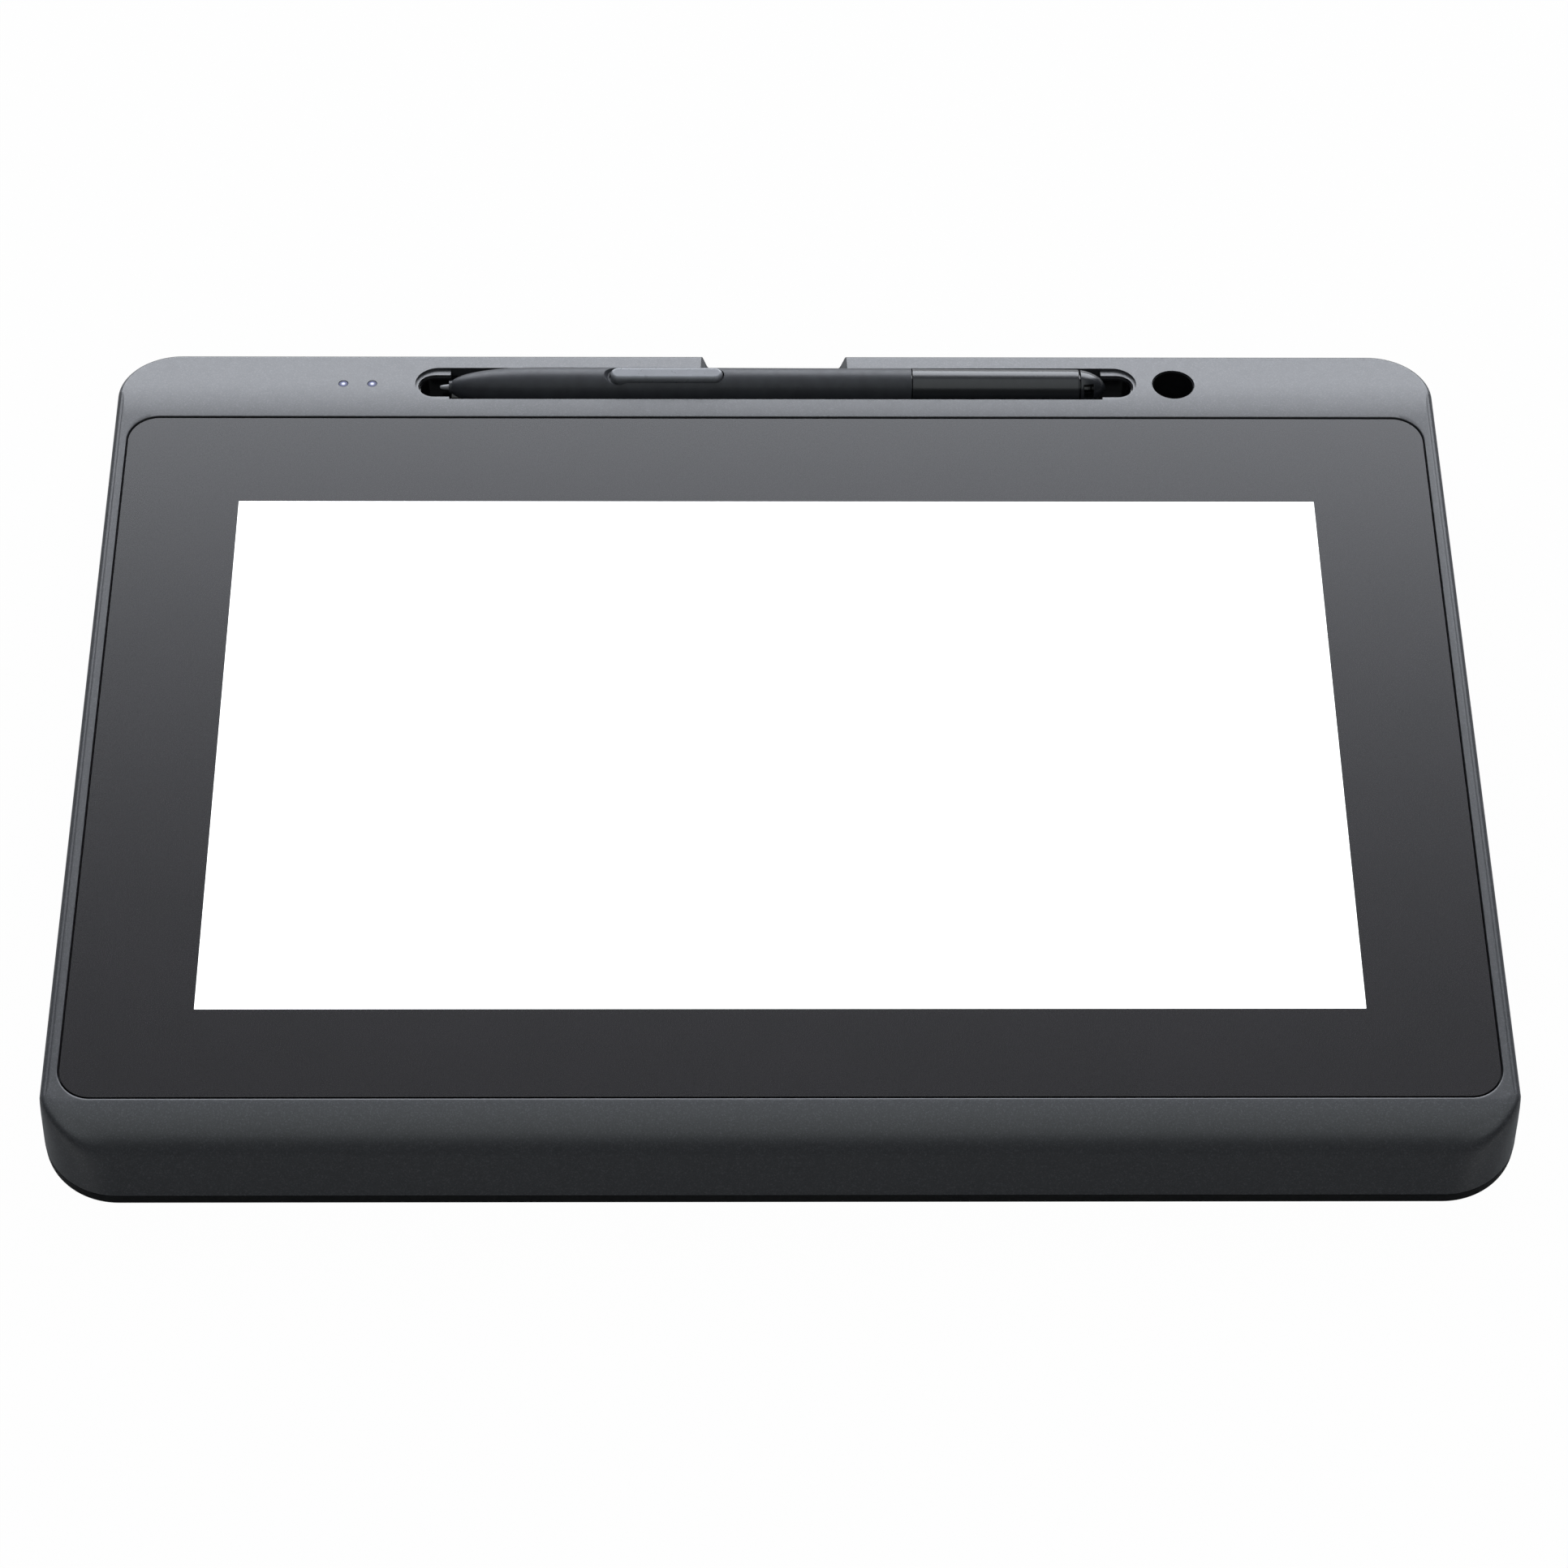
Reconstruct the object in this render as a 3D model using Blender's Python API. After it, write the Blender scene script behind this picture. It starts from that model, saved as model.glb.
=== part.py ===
"""Counter signature pad.

A flat housing carries a glass face over a ten inch display, and its front edge rolls down to the
desk. Behind the glass a stepped tray holds the pen, with a finger notch through the rear edge, and a
round hole beside it takes the pen upright. Sockets sit in a bay underneath, behind a cover that slides
off to the rear.

Metres, +Z up, +X to the right, +Y to the rear. The origin is at the middle of the footprint, on the
surface that the pad stands on.
"""

import math

import bmesh
import bpy
from mathutils import Matrix, Vector

# Clearances
FIT = 0.0003  # between pieces that seat on or slide in each other
BOND = 0.0001  # between layers that are glued or clamped together
SEAM = 0.0002  # parting line between the pieces of the housing
OVERRUN = 0.0010  # how far a cutter reaches past what it cuts
WELD = 0.0005  # how far a rib or a boss reaches into what carries it

# Layers, from the desk up
FOOT_HEIGHT = 0.0015
FLOOR_THICKNESS = 0.0020
STANDOFF_HEIGHT = 0.0024
BOARD_THICKNESS = 0.0012
BOARD_HEADROOM = 0.0014
CHASSIS_THICKNESS = 0.0010
SHIELD_THICKNESS = 0.0003
SENSOR_THICKNESS = 0.0008
BACKLIGHT_THICKNESS = 0.0021
PANEL_THICKNESS = 0.0012
TAPE_THICKNESS = 0.0003
GLASS_THICKNESS = 0.0016
LEDGE_THICKNESS = 0.0020

# Lit area, and what lies round it up to the edge of the glass opening
LIT_WIDTH = 0.2232
LIT_DEPTH = 0.12555
LIT_SIDE_MARGIN = 0.0246
LIT_FRONT_MARGIN = 0.01965
LIT_REAR_MARGIN = 0.02302

# Pen
PEN_RADIUS = 0.00425
PEN_SINK = 0.0026  # axis of the pen below the face of the glass
NIB_REACH = 0.0020  # how far the nib stands out of the nose
NIB_RADIUS = 0.0007
NIB_TIP_RADIUS = 0.00035
NIB_CLEARANCE = 0.00035
NIB_CORE_GAP = 0.0009
NOSE_RADIUS = 0.00135
NOSE_LENGTH = 0.0220
NOSE_BORE_LENGTH = 0.0095
NOSE_CONE_LENGTH = 0.0075
NOSE_EXPONENT = 2.4
GRIP_LENGTH = 0.0981
GRIP_TAPER = 0.0002
PEN_WALL = 0.00115
BARREL_LENGTH = 0.0354
BARREL_STEP = 0.0004  # barrel inside the line of the grip, at its front
BARREL_TAPER = 0.00025
SPIGOT_WALL = 0.0003
SPIGOT_LENGTH = 0.0060
CAP_LENGTH = 0.0054
CAP_STEP = 0.00005
CAP_DOME = 0.0053
TETHER_SLOT_WIDTH = 0.0021
TETHER_HEIGHT_SHARE = 0.45  # slot, of the width of the cap
TETHER_TILT = math.radians(54)  # of the slot, from level up to the front
TETHER_SLOT_LAND = 0.0026  # slot to the end of the cap
SWITCH_LENGTH = 0.0238
SWITCH_WIDTH = 0.0034
SWITCH_SETBACK = 0.0462  # nose to the middle of the switch
SWITCH_PROUD = 0.0005
SWITCH_CHAMFER = 0.0004
SWITCH_FLANGE_RIM = 0.0013
SWITCH_FLANGE_WIDTH = 0.0028
SWITCH_FLANGE_THICKNESS = 0.0006
SWITCH_FLANGE_SINK = 0.0013  # flange below the top of the bore
DISH_RADIUS = 0.0031  # finger dish in the grip at the front end of the switch
DISH_DEPTH = 0.0007
CORE_WIDTH_SHARE = 0.76  # of the bore of the spigot
CORE_TOP_SHARE = 0.40
CORE_DEPTH_SHARE = 0.64
CORE_END_GAP = 0.0040

# Pen tray, in the band behind the glass
PEN_CLEARANCE = 0.000325
PEN_TIP_ROOM = 0.0051  # from the nib to the end of the slot
PEN_CAP_ROOM = 0.0065  # from the other end of the pen to the end of the slot
TRAY_FRONT_LAND = 0.00586  # glass opening to the slot
TRAY_REAR_LAND = 0.00464  # slot to the rear edge
TRAY_WALL = 0.0010
TRAY_FLOOR = 0.00115
SHELF_DEPTH = 0.0009  # below the face round it
WELL_MARGIN = 0.0007  # well beyond the place where the cap of the pen fits the pits
PIT_END_LAND = 0.0006
PIT_FRONT_LAND = 0.00088
PIT_REAR_LAND = 0.00178
PIT_FLOOR = 0.00067  # pits at the ends lie this much higher than the trough
NOTCH_TOP_WIDTH = 0.0338
NOTCH_FLOOR_WIDTH = 0.0281
NOTCH_RADIUS = 0.0020
SADDLE_RIM = 0.0036  # saddle beyond the notch, each side

# Housing
WALL = 0.0020
DRAFT = 0.0004  # how far the walls lean in over their height
EDGE_RADIUS = 0.0016
SIDE_BAND = 0.0033
FRONT_BAND = 0.01435
ROLL_RADIUS = 0.0120
ROLL_LIMIT_SHARE = 0.9
LIP_HEIGHT = 0.00343  # parting line above the underside
REAR_CURVE = 0.0100
REAR_SLOPE = math.radians(9)
FRONT_CORNER_RADIUS = 0.0150
REAR_CORNER_RADIUS = 0.0130
GLASS_RADIUS = 0.0062
GLASS_GAP = 0.0004
GLASS_CHAMFER = 0.0003
TAPE_INSET = 0.0003
LEDGE_WIDTH = 0.0040
LEDGE_CORNER_RADIUS = 0.0030
TUB_EDGE_RADIUS = 0.0012
TONGUE_WALL = 0.0010
TONGUE_HEIGHT = 0.00127
RIB_THICKNESS = 0.0012
RIB_SIDE_GAP = 0.0295  # end of a cross rib to the side of the housing
RIB_FIRST_Y = -0.0680
RIB_PITCH = 0.0240
RIB_COUNT = 3
LONG_RIB_GAP = 0.0130  # main board to the rib beside it
LONG_RIB_END_Y = 0.0640

# Feet
FOOT_LENGTH = 0.0440
FOOT_WIDTH = 0.0100
FOOT_RECESS = 0.0006
FOOT_CHAMFER = 0.0005
FOOT_SIDE_INSET = 0.0355
FOOT_FRONT_INSET = 0.0191
FOOT_REAR_INSET = 0.0251

# Screws
SCREW_RADIUS = 0.0009
SCREW_HEAD_RADIUS = 0.0021
SCREW_HEAD_HEIGHT = 0.0014
SCREW_DRIVE_RADIUS = 0.0008
SCREW_DRIVE_DEPTH = 0.0006
SCREW_SINK = 0.0004  # head below the underside
SCREW_TIP_GAP = 0.0003
SCREW_POINT = 0.0005
SCREW_POST_RADIUS = 0.0032
SCREW_POST_HEIGHT = 0.0018
SCREW_BOSS_RADIUS = 0.0028
PILOT_LAND = 0.0004
REAR_SCREW_INSET_X = 0.0080
REAR_SCREW_INSET_Y = 0.0101
SIDE_SCREW_Y = 0.0050
FRONT_SCREW_INSET_X = 0.0125
FRONT_SCREW_INSET_Y = 0.0111
FRONT_SCREW_SPACING = 0.0900
SMALL_SCREW_RADIUS = 0.0008
SMALL_HEAD_RADIUS = 0.0018
SMALL_HEAD_HEIGHT = 0.0008
SMALL_POST_RADIUS = 0.0026

# Brass inserts for a stand
INSERT_PITCH = 0.0750
INSERT_RADIUS = 0.0028
INSERT_BORE = 0.0020
INSERT_WALL = 0.0012

# Display, digitizer and chassis
PANEL_SIDE_BORDER = 0.0054
PANEL_FRONT_BORDER = 0.0069
PANEL_REAR_BORDER = 0.00555
BACKLIGHT_RIM = 0.0015
SENSOR_RIM = 0.0035
CHASSIS_RIM = 0.0042  # chassis to the inner edge of the ledge
CHASSIS_REAR_RIM = 0.0074
EAR_WIDTH = 0.0080
EAR_FRONT_Y = -0.0500
EAR_REAR_Y = 0.0450
EAR_LAND = 0.0020  # plate round a screw hole
CHASSIS_BOSS_RADIUS = 0.0022

# Connector bay and its cover
BAY_LENGTH = 0.0441
COVER_WIDTH = 0.0860
COVER_STEP = 0.0015  # runner beyond the plate, each side
RUNNER_THICKNESS = 0.0008
BAY_LIP = 0.0009
BAY_WALL = 0.0015
BAY_WALL_TOP_GAP = 0.0004
UPSTAND_THICKNESS = 0.0016
COVER_RECESS = 0.0004  # rear face of the cover behind the rear wall
OUTLET_WIDTH = 0.0380
GROOVE_LENGTH = 0.0240
GROOVE_WIDTH = 0.0010
GROOVE_DEPTH = 0.0005
GROOVE_PITCH = 0.0022
GROOVE_COUNT = 5
GROOVE_SETBACK = 0.0060

# Boards and sockets
MAIN_BOARD_DEPTH = 0.0480
BOARD_HOLE_INSET = 0.0050
SOCKET_OVERHANG = 0.0030
SOCKET_DEPTH = 0.0083
SOCKET_SINK = 0.0004  # socket axis below the middle of the board
SOCKET_BACK = 0.0012
SOCKET_WALL = 0.0003
SOCKET_TONGUE = 0.0006
VIDEO_SIZE = (0.0114, 0.0034)
VIDEO_X = -0.0180
USB_SIZE = (0.0090, 0.0032)
USB_X = 0.0020
JACK_SIZE = (0.0060, 0.0036)
JACK_X = 0.0220
JACK_BORE = 0.0013
CHIP_HEIGHT = 0.0009
PROCESSOR_SIZE = 0.0140
MEMORY_SIZE = 0.0090
CHIP_SPACING = 0.0220
RIBBON_GAP = 0.0012  # head of a board screw to the ribbon
RIBBON_WALL_GAP = 0.0022  # wall of the bay to the ribbon
RIBBON_WIDTH = 0.0200
RIBBON_THICKNESS = 0.0002
RIBBON_CLEARANCE = 0.0014  # behind the chassis
RIBBON_LANDING = 0.0040  # over the rear edge of the main board
PLUG_DEPTH = 0.0034
BUTTON_BOARD_DEPTH = 0.0104
BUTTON_BOARD_GAP = 0.0010  # to the tongue of the rear wall
OUTER_LIGHT_GAP = 0.0063  # light to the board screw beside it
INNER_LIGHT_GAP = 0.0031
BUTTON_POST_RADIUS = 0.0022
BUTTON_POST_INSET_X = 0.0030
BUTTON_POST_INSET_Y = 0.0028

# Power button, status lights and lock slot
BUTTON_X_GAP = 0.01215  # end of the tray to the middle of the button
BUTTON_LENGTH = 0.0110
BUTTON_HEIGHT = 0.0036
BUTTON_DEPTH = 0.00235
BUTTON_TRAVEL = 0.0006
BUTTON_FLANGE_RIM = 0.00125
BUTTON_FLANGE_THICKNESS = 0.0010
BUTTON_WALL_GAP = 0.0003
PLUNGER_GAP = 0.0002  # button pressed in to the plunger
POWER_SWITCH_WIDTH = 0.0060
POWER_SWITCH_DEPTH = 0.0031
POWER_SWITCH_HEIGHT = 0.0036
PLUNGER_RADIUS = 0.0010
PLUNGER_LENGTH = 0.0008
LIGHT_SPACING = 0.0061
LIGHT_RADIUS = 0.00095
LIGHT_CLEARANCE = 0.0001
LIGHT_FLANGE_RIM = 0.00065
LIGHT_FLANGE_THICKNESS = 0.0009
LIGHT_SETBACK = 0.0006  # in front of the line of the tray
LIGHT_SINK = 0.00005
LOCK_INSET = 0.0315  # side of the housing to the middle of the slot
LOCK_LENGTH = 0.0070
LOCK_HEIGHT = 0.0030
ANCHOR_LENGTH = 0.0140
ANCHOR_THICKNESS = 0.0012

# Pen stand
STAND_LAND = 0.00145  # between the tray and the cup
STAND_CLEARANCE = 0.00025
CUP_WALL = 0.0009
CUP_FLOOR = 0.0010

# How finely round shapes are cut
QUARTER = math.pi / 2
CORNER_STEPS = 8
FLAT_RINGS = 5
EDGE_RINGS = 4
WALL_RINGS = 3
TUB_EDGE_STEPS = 3
CAP_STEPS = 8
SMALL_STEPS = 10
ROUND_STEPS = 14
PEN_STEPS = 24
NOSE_STEPS = 12
DOME_STEPS = 7
SMOOTH_ANGLE = math.radians(35)
CARRIAGE_SIZE = 0.0100  # drawn size of an empty

# Heights
FLOOR_TOP = FOOT_HEIGHT + FLOOR_THICKNESS
STANDOFF_TOP = FLOOR_TOP + STANDOFF_HEIGHT
BOARD_BOTTOM = STANDOFF_TOP + FIT
BOARD_TOP = BOARD_BOTTOM + BOARD_THICKNESS
CHASSIS_BOTTOM = BOARD_TOP + BOARD_HEADROOM
CHASSIS_TOP = CHASSIS_BOTTOM + CHASSIS_THICKNESS
SHIELD_BOTTOM = CHASSIS_TOP + FIT
SENSOR_BOTTOM = SHIELD_BOTTOM + SHIELD_THICKNESS + BOND
BACKLIGHT_BOTTOM = SENSOR_BOTTOM + SENSOR_THICKNESS + BOND
PANEL_BOTTOM = BACKLIGHT_BOTTOM + BACKLIGHT_THICKNESS + BOND
GLASS_BOTTOM = PANEL_BOTTOM + PANEL_THICKNESS + BOND
TOP = GLASS_BOTTOM + GLASS_THICKNESS
LEDGE_TOP = GLASS_BOTTOM - TAPE_THICKNESS - BOND - BOND
CEILING = LEDGE_TOP - LEDGE_THICKNESS
LIP_Z = FOOT_HEIGHT + LIP_HEIGHT
TONGUE_TOP = LIP_Z + TONGUE_HEIGHT
POST_TOP = FLOOR_TOP + SCREW_POST_HEIGHT
PEN_Z = TOP - PEN_SINK
SLOT_Z = (TONGUE_TOP + CEILING) / 2  # middle of the power button and of the lock slot
TROUGH_RADIUS = PEN_RADIUS + PEN_CLEARANCE
TROUGH_FLOOR = PEN_Z - TROUGH_RADIUS
TRAY_BOTTOM = TROUGH_FLOOR - TRAY_FLOOR
TRAY_TOP = CEILING - FIT
BAY_TOP = TRAY_BOTTOM - FIT
SOCKET_Z = BOARD_BOTTOM + BOARD_THICKNESS / 2 - SOCKET_SINK

# Pen and slot: the slot is as long as the pen and the room at its two ends
PEN_BORE_RADIUS = PEN_RADIUS - PEN_WALL
GRIP_REAR_RADIUS = PEN_RADIUS - GRIP_TAPER
BARREL_FRONT_RADIUS = PEN_RADIUS - BARREL_STEP
BARREL_REAR_RADIUS = BARREL_FRONT_RADIUS - BARREL_TAPER
CAP_RADIUS = BARREL_REAR_RADIUS - CAP_STEP
SPIGOT_RADIUS = PEN_BORE_RADIUS - FIT
SPIGOT_BORE = SPIGOT_RADIUS - SPIGOT_WALL
PEN_LENGTH = NIB_REACH + GRIP_LENGTH + SEAM + BARREL_LENGTH + FIT + CAP_LENGTH
TRAY_LENGTH = PEN_TIP_ROOM + PEN_LENGTH + PEN_CAP_ROOM
TRAY_END = TRAY_LENGTH / 2
TRAY_WIDTH = 2 * TROUGH_RADIUS
PIT_ROOM = TROUGH_RADIUS - PIT_REAR_LAND - FIT  # beside the axis of the pen
PIT_ROOM_SHARE = min(1.0, PIT_ROOM / CAP_RADIUS)
CAP_REACH = CAP_DOME * (1 - math.sqrt(1 - PIT_ROOM_SHARE**2))  # the dome that may lie over a pit
WELL_LENGTH = TRAY_LENGTH - 2 * (PEN_CAP_ROOM + CAP_REACH - WELL_MARGIN)  # open at its full width
PEN_TIP_X = PEN_TIP_ROOM - TRAY_END
NOSE_X = PEN_TIP_X + NIB_REACH
GRIP_REAR_X = NOSE_X + GRIP_LENGTH
BARREL_FRONT_X = GRIP_REAR_X + SEAM
BARREL_REAR_X = BARREL_FRONT_X + BARREL_LENGTH
CAP_FRONT_X = BARREL_REAR_X + FIT
CAP_REAR_X = CAP_FRONT_X + CAP_LENGTH
SWITCH_X = NOSE_X + SWITCH_SETBACK
SWITCH_TOP = PEN_Z + PEN_RADIUS + SWITCH_PROUD
CORE_FRONT_X = NOSE_X + NOSE_BORE_LENGTH + NOSE_CONE_LENGTH

# Plan
REAR_BAND = TRAY_FRONT_LAND + TRAY_WIDTH + TRAY_REAR_LAND
OPEN_DEPTH = LIT_FRONT_MARGIN + LIT_DEPTH + LIT_REAR_MARGIN
HALF_DEPTH = (FRONT_BAND + OPEN_DEPTH + REAR_BAND) / 2
OPEN_X = LIT_WIDTH / 2 + LIT_SIDE_MARGIN
OPEN_FRONT = FRONT_BAND - HALF_DEPTH
OPEN_REAR = HALF_DEPTH - REAR_BAND
HALF_WIDTH = OPEN_X + SIDE_BAND
OPEN_RADIUS = GLASS_RADIUS + GLASS_GAP
FRONT_CENTRE = (HALF_WIDTH - FRONT_CORNER_RADIUS, FRONT_CORNER_RADIUS - HALF_DEPTH)
REAR_CENTRE = (HALF_WIDTH - REAR_CORNER_RADIUS, HALF_DEPTH - REAR_CORNER_RADIUS)
LEDGE_X = OPEN_X - LEDGE_WIDTH
TRAY_Y = OPEN_REAR + TRAY_FRONT_LAND + TROUGH_RADIUS
BUTTON_X = -TRAY_END - BUTTON_X_GAP
CUP_BORE = PEN_RADIUS + STAND_CLEARANCE
STAND_X = TRAY_END + TRAY_WALL + STAND_LAND + CUP_WALL + CUP_BORE
STAND_Y = TRAY_Y - LIGHT_SETBACK
PEN_AXIS = (TRAY_Y, PEN_Z)
LOCK_X = HALF_WIDTH - LOCK_INSET
RIB_SPAN = 2 * (HALF_WIDTH - RIB_SIDE_GAP)
BAY_FRONT = HALF_DEPTH - BAY_LENGTH
BAY_X = COVER_WIDTH / 2 + FIT
RIBBON_X = BAY_X + BAY_WALL + RIBBON_WALL_GAP + RIBBON_WIDTH / 2
BOARD_SCREW_X = RIBBON_X + RIBBON_WIDTH / 2 + RIBBON_GAP + SMALL_HEAD_RADIUS
MAIN_BOARD_WIDTH = 2 * (BOARD_SCREW_X + BOARD_HOLE_INSET)
LONG_RIB_X = MAIN_BOARD_WIDTH / 2 + LONG_RIB_GAP
PANEL_X = LIT_WIDTH / 2 + PANEL_SIDE_BORDER
PANEL_FRONT = OPEN_FRONT + LIT_FRONT_MARGIN - PANEL_FRONT_BORDER
PANEL_REAR = OPEN_REAR - LIT_REAR_MARGIN + PANEL_REAR_BORDER
CHASSIS_X = LEDGE_X - CHASSIS_RIM
CHASSIS_FRONT = OPEN_FRONT + LEDGE_WIDTH + CHASSIS_RIM
CHASSIS_REAR = OPEN_REAR - LEDGE_WIDTH - CHASSIS_REAR_RIM
CHASSIS_SCREW_X = LEDGE_X + CHASSIS_BOSS_RADIUS
SIDE_SCREW_X = HALF_WIDTH - WALL - FIT - TONGUE_WALL - FIT - SCREW_BOSS_RADIUS
MAIN_BOARD_REAR = BAY_FRONT - SOCKET_OVERHANG

# The front edge: a roll that starts level at the glass and ends tangent to a straight run to the lip
ROLL = min(ROLL_RADIUS, ROLL_LIMIT_SHARE * FRONT_BAND)
ROLL_RISE = TOP - LIP_Z - ROLL
ROLL_RUN = math.sqrt(FRONT_BAND**2 + ROLL_RISE**2 - ROLL**2)
ROLL_ANGLE = math.atan2(ROLL_RISE, FRONT_BAND) + math.atan2(ROLL, ROLL_RUN)

# Colour, roughness and metallic value of each finish
FINISHES = {
    "grey_paint": ((0.22, 0.23, 0.255), 0.42, 0.30),
    "black_moulding": ((0.014, 0.014, 0.015), 0.55, 0.0),
    "gloss_black": ((0.006, 0.006, 0.007), 0.10, 0.0),
    "glass_face": ((0.045, 0.048, 0.052), 0.30, 0.0),
    "lit_panel": ((0.90, 0.91, 0.92), 0.50, 0.0),
    "grip_rubber": ((0.020, 0.021, 0.023), 0.62, 0.0),
    "barrel_plastic": ((0.030, 0.031, 0.034), 0.25, 0.0),
    "switch_grey": ((0.40, 0.41, 0.43), 0.35, 0.0),
    "nib_plastic": ((0.03, 0.03, 0.03), 0.45, 0.0),
    "foot_rubber": ((0.022, 0.022, 0.022), 0.80, 0.0),
    "foam_tape": ((0.015, 0.015, 0.015), 0.85, 0.0),
    "sheet_steel": ((0.60, 0.61, 0.62), 0.35, 1.0),
    "brass": ((0.72, 0.52, 0.22), 0.30, 1.0),
    "board_green": ((0.020, 0.110, 0.050), 0.50, 0.0),
    "ribbon_amber": ((0.45, 0.22, 0.05), 0.45, 0.0),
    "light_guide": ((0.85, 0.88, 0.92), 0.20, 0.0),
}


# Outlines, as lists of points in a plane


def arc(centre, reach_u, reach_v, start, end, steps):
    """An elliptical arc, both ends included."""
    points = []
    for step in range(steps + 1):
        angle = start + (end - start) * step / steps
        points.append((centre[0] + reach_u * math.cos(angle), centre[1] + reach_v * math.sin(angle)))
    return points


def circle(centre, radius, steps=ROUND_STEPS):
    return arc(centre, radius, radius, 0, 4 * QUARTER, steps)[:-1]


def capsule(centre, length, width, steps=CAP_STEPS):
    """A slot outline with round ends, its length along the first coordinate."""
    radius = width / 2
    reach = length / 2 - radius
    right = arc((centre[0] + reach, centre[1]), radius, radius, -QUARTER, QUARTER, steps)
    left = arc((centre[0] - reach, centre[1]), radius, radius, QUARTER, 3 * QUARTER, steps)
    return right + left


def rectangle(low, high):
    return [(low[0], low[1]), (high[0], low[1]), (high[0], high[1]), (low[0], high[1])]


def centred(centre, width, depth):
    half_u, half_v = width / 2, depth / 2
    return rectangle((centre[0] - half_u, centre[1] - half_v), (centre[0] + half_u, centre[1] + half_v))


def blend(start, end, share):
    return start + (end - start) * share


def held(value):
    """The value kept between nought and one."""
    return max(0.0, min(1.0, value))


# Solids


def place(axis, u, v, w):
    """A point from its two outline coordinates and its height along the axis."""
    return {"X": (w, u, v), "Y": (u, w, v), "Z": (u, v, w)}[axis]


def material(name, finish):
    colour, roughness, metallic = FINISHES[finish]
    made = bpy.data.materials.new(f"{name}_{finish}")
    made.use_nodes = True
    made.diffuse_color = (*colour, 1.0)
    shader = made.node_tree.nodes["Principled BSDF"]
    shader.inputs["Base Color"].default_value = (*colour, 1.0)
    shader.inputs["Roughness"].default_value = roughness
    shader.inputs["Metallic"].default_value = metallic
    return made


def solid(name, bm, finish=None):
    """Turns a closed bmesh into an object. One with no finish is a cutter or a piece to join."""
    bmesh.ops.recalc_face_normals(bm, faces=bm.faces)
    mesh = bpy.data.meshes.new(name)
    bm.to_mesh(mesh)
    bm.free()
    mesh.shade_smooth()
    mesh.set_sharp_from_angle(angle=SMOOTH_ANGLE)
    piece = bpy.data.objects.new(name, mesh)
    bpy.context.scene.collection.objects.link(piece)
    if finish:
        mesh.materials.append(material(name, finish))
    else:
        piece.hide_render = True
        piece.display_type = "WIRE"
    return piece


def loft(name, loops, finish=None, closed=False):
    """Joins loops of points in turn. A closed loft meets its own start, an open one gets two caps."""
    bm = bmesh.new()
    rows = [[bm.verts.new(point) for point in loop] for loop in loops]
    pairs = list(zip(rows, rows[1:]))
    if closed:
        pairs.append((rows[-1], rows[0]))
    else:
        bm.faces.new(rows[0])
        bm.faces.new(rows[-1])
    for lower, upper in pairs:
        for here in range(len(lower)):
            following = (here + 1) % len(lower)
            bm.faces.new((lower[here], lower[following], upper[following], upper[here]))
    return solid(name, bm, finish)


def prism(name, outline, axis, low, high, finish=None):
    """An outline pushed along an axis."""
    bm = bmesh.new()
    base = bm.faces.new([bm.verts.new(place(axis, u, v, low)) for u, v in outline])
    pushed = bmesh.ops.extrude_face_region(bm, geom=[base])
    tops = [item for item in pushed["geom"] if isinstance(item, bmesh.types.BMVert)]
    bmesh.ops.translate(bm, verts=tops, vec=Vector(place(axis, 0, 0, high - low)))
    return solid(name, bm, finish)


def turned(name, profile, axis, centre, finish=None, hollow=False, steps=ROUND_STEPS):
    """A profile of (place along the axis, radius) turned about the axis through the centre."""
    loops = []
    for along, radius in profile:
        loops.append([place(axis, u, v, along) for u, v in circle(centre, radius, steps)])
    return loft(name, loops, finish, closed=hollow)


def shape(target, operation, helpers):
    for helper in helpers:
        modifier = target.modifiers.new(f"{operation.lower()}_{helper.name}", "BOOLEAN")
        modifier.operation = operation
        modifier.solver = "EXACT"
        modifier.object = helper
        helper.hide_render = True
        helper.display_type = "WIRE"


def join(target, *helpers):
    shape(target, "UNION", helpers)


def cut(target, *helpers):
    shape(target, "DIFFERENCE", helpers)


def carriage(name, centre, pieces, carrier=None):
    """An empty on the axis of a joint, with the pieces that move together and their cutters under it."""
    empty = bpy.data.objects.new(name, None)
    empty.empty_display_size = CARRIAGE_SIZE
    empty.location = centre
    bpy.context.scene.collection.objects.link(empty)
    if carrier:
        empty.parent = carrier
        empty.matrix_parent_inverse = Matrix.Translation(-carrier.location)
    for piece in pieces:
        helpers = [modifier.object for modifier in piece.modifiers if modifier.type == "BOOLEAN"]
        for follower in [piece, *helpers]:
            follower.parent = empty
            follower.matrix_parent_inverse = Matrix.Translation(-Vector(centre))
    return empty


# Where things stand, for pieces that share places


def screw_places():
    """Where the housing screws stand."""
    right = (
        (HALF_WIDTH - REAR_SCREW_INSET_X, HALF_DEPTH - REAR_SCREW_INSET_Y),
        (SIDE_SCREW_X, SIDE_SCREW_Y),
        (HALF_WIDTH - FRONT_SCREW_INSET_X, FRONT_SCREW_INSET_Y - HALF_DEPTH),
        (FRONT_SCREW_SPACING / 2, FRONT_SCREW_INSET_Y - HALF_DEPTH),
    )
    return [(side * x, y) for x, y in right for side in (1, -1)]


def chassis_screw_places():
    return [(side * CHASSIS_SCREW_X, y) for y in (EAR_FRONT_Y, EAR_REAR_Y) for side in (1, -1)]


def insert_places():
    half = INSERT_PITCH / 2
    return [(x, y) for x in (-half, half) for y in (-half, half)]


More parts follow.
